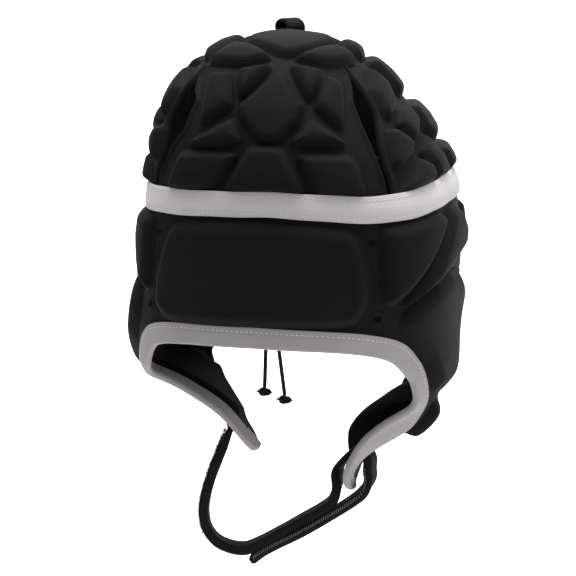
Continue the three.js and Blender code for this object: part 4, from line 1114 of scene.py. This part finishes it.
def makeLace():
    radius = lace["cord"] / 2
    route = laceRoute()
    finishPiece(wrapCord(route, radius, 8), "backLace", "laceCord", ["back_lace"])
    x, y, level = lace["tie"]
    tieLine = knotLine(x, y, level, lace["tieWide"], lace["tieHigh"])
    finishPiece(wrapCord(tieLine, radius), "laceTie", "laceCord", ["lace_tie"])
    for name, (endX, endY, endLevel) in lace["tails"].items():
        side = math.copysign(1, endX - x)
        points = [
            (x + side * 2, y, level - 4.5),
            (x + side * 3.2, endY, (level * 2 + endLevel) / 3),
            (endX, endY, endLevel),
        ]
        line, length = smoothLine(points, 60)
        tail = finishPiece(
            wrapCord(line, radius), "laceTail" + name, "laceCord", ["lace_tail_" + name.lower()]
        )
        knotLevel = endLevel - lace["knotHigh"] / 2 - 0.3
        bm = wrapCord(knotLine(endX, endY, knotLevel, lace["knotWide"], lace["knotHigh"]), radius * 0.9)
        addFray(bm, (endX, endY, knotLevel))
        knot = finishPiece(bm, "laceKnot" + name, "laceCord", ["lace_knot_" + name.lower()])
        length * 0.001


makeLace()

# folded loop on the crown's top
crownLoop = {"wide": 8.6, "high": 5.4, "thick": 3.2, "deep": 11.0, "back": 0.38, "lift": 1.2, "turn": -45.0}


def makeLoop():
    foot = lifted(
        topPoint, np.array(0.0), np.array(crownLoop["back"]), np.array(crownLoop["lift"]), 0.03, 0.03
    )
    turn = math.radians(crownLoop["turn"])

    def place(u, v, outer):
        a = 2 * math.pi * u
        border = np.minimum(v, 1 - v) * crownLoop["deep"]
        thin = 0.7 * rim(border, 1.7)
        shrink = np.where(outer, crownLoop["thick"] * 0.5 * thin, crownLoop["thick"] * (1 - 0.5 * thin))
        aside = (crownLoop["wide"] - shrink) * np.cos(a)
        deep = (v - 0.5) * crownLoop["deep"]
        x = foot[0] + aside * math.cos(turn) - deep * math.sin(turn)
        y = foot[1] + aside * math.sin(turn) + deep * math.cos(turn)
        z = foot[2] + crownLoop["high"] + (crownLoop["high"] - 0.8 * shrink) * np.sin(a)
        return np.stack([x, y, z], -1), np.stack([u * 45, v * crownLoop["deep"]], -1)

    bm = wrapSlab(64, 14, place, around=True)
    finishPiece(bm, "crownLoop", "ribbedFabric", ["crown_loop"])


makeLoop()


# pale sweep and soft studio light
def makeSweep():
    bm = bmesh.new()
    low = cadLow.z - view["floorDrop"]
    half = view["floorSize"] / 2
    side = [bm.verts.new((-half, -half, low)), bm.verts.new((half, -half, low))]
    edge = bm.edges.new(side)
    runs = [(0, half + view["wallBack"] - view["bend"], 0)]
    for k in range(12):
        a = math.pi / 2 * (k + 0.5) / 12
        step = view["bend"] * math.pi / 24
        runs.append((0, step * math.cos(a), step * math.sin(a)))
    runs.append((0, 0, view["wallHigh"]))
    edges = [edge]
    for run in runs:
        made = bmesh.ops.extrude_edge_only(bm, edges=edges)
        verts = [e for e in made["geom"] if isinstance(e, bmesh.types.BMVert)]
        bmesh.ops.translate(bm, verts=verts, vec=run)
        edges = [e for e in made["geom"] if isinstance(e, bmesh.types.BMEdge)]
    bmesh.ops.recalc_face_normals(bm, faces=bm.faces)
    mesh = bpy.data.meshes.new("paleSweep")
    bm.to_mesh(mesh)
    bm.free()
    mesh.shade_smooth()
    sweep = bpy.data.objects.new("paleSweep", mesh)
    scene.collection.objects.link(sweep)
    material = bpy.data.materials.new("paleFloor")
    material.use_nodes = True
    shader = material.node_tree.nodes["Principled BSDF"]
    shader.inputs["Base Color"].default_value = (0.93, 0.93, 0.93, 1)
    shader.inputs["Roughness"].default_value = 0.9
    mesh.materials.append(material)


lights = [
    # name, place, size, watts
    ("keyLight", (-1.1, -1.3, 1.6), 1.2, 17),
    ("sideLight", (1.9, -0.5, 0.7), 1.4, 16),
    ("topLight", (0.0, 0.1, 1.9), 1.4, 12),
    ("backdropLight", (0, 1.2, 3.2), 4.0, 420),
]


def setLights():
    for name, place, size, watts in lights:
        data = bpy.data.lights.new(name, "AREA")
        data.size = size
        data.energy = watts
        lamp = bpy.data.objects.new(name, data)
        scene.collection.objects.link(lamp)
        lamp.location = place
        aim = Vector((0, 3.5, -0.5)) if name == "backdropLight" else Vector((0, 0, -0.1))
        lamp.rotation_euler = (aim - Vector(place)).to_track_quat("-Z", "Y").to_euler()
    world = bpy.data.worlds.new("studio")
    scene.world = world
    world.use_nodes = True
    back = world.node_tree.nodes["Background"]
    back.inputs["Color"].default_value = (1, 1, 1, 1)
    back.inputs["Strength"].default_value = 0.42


makeSweep()
setLights()
print("stage set")
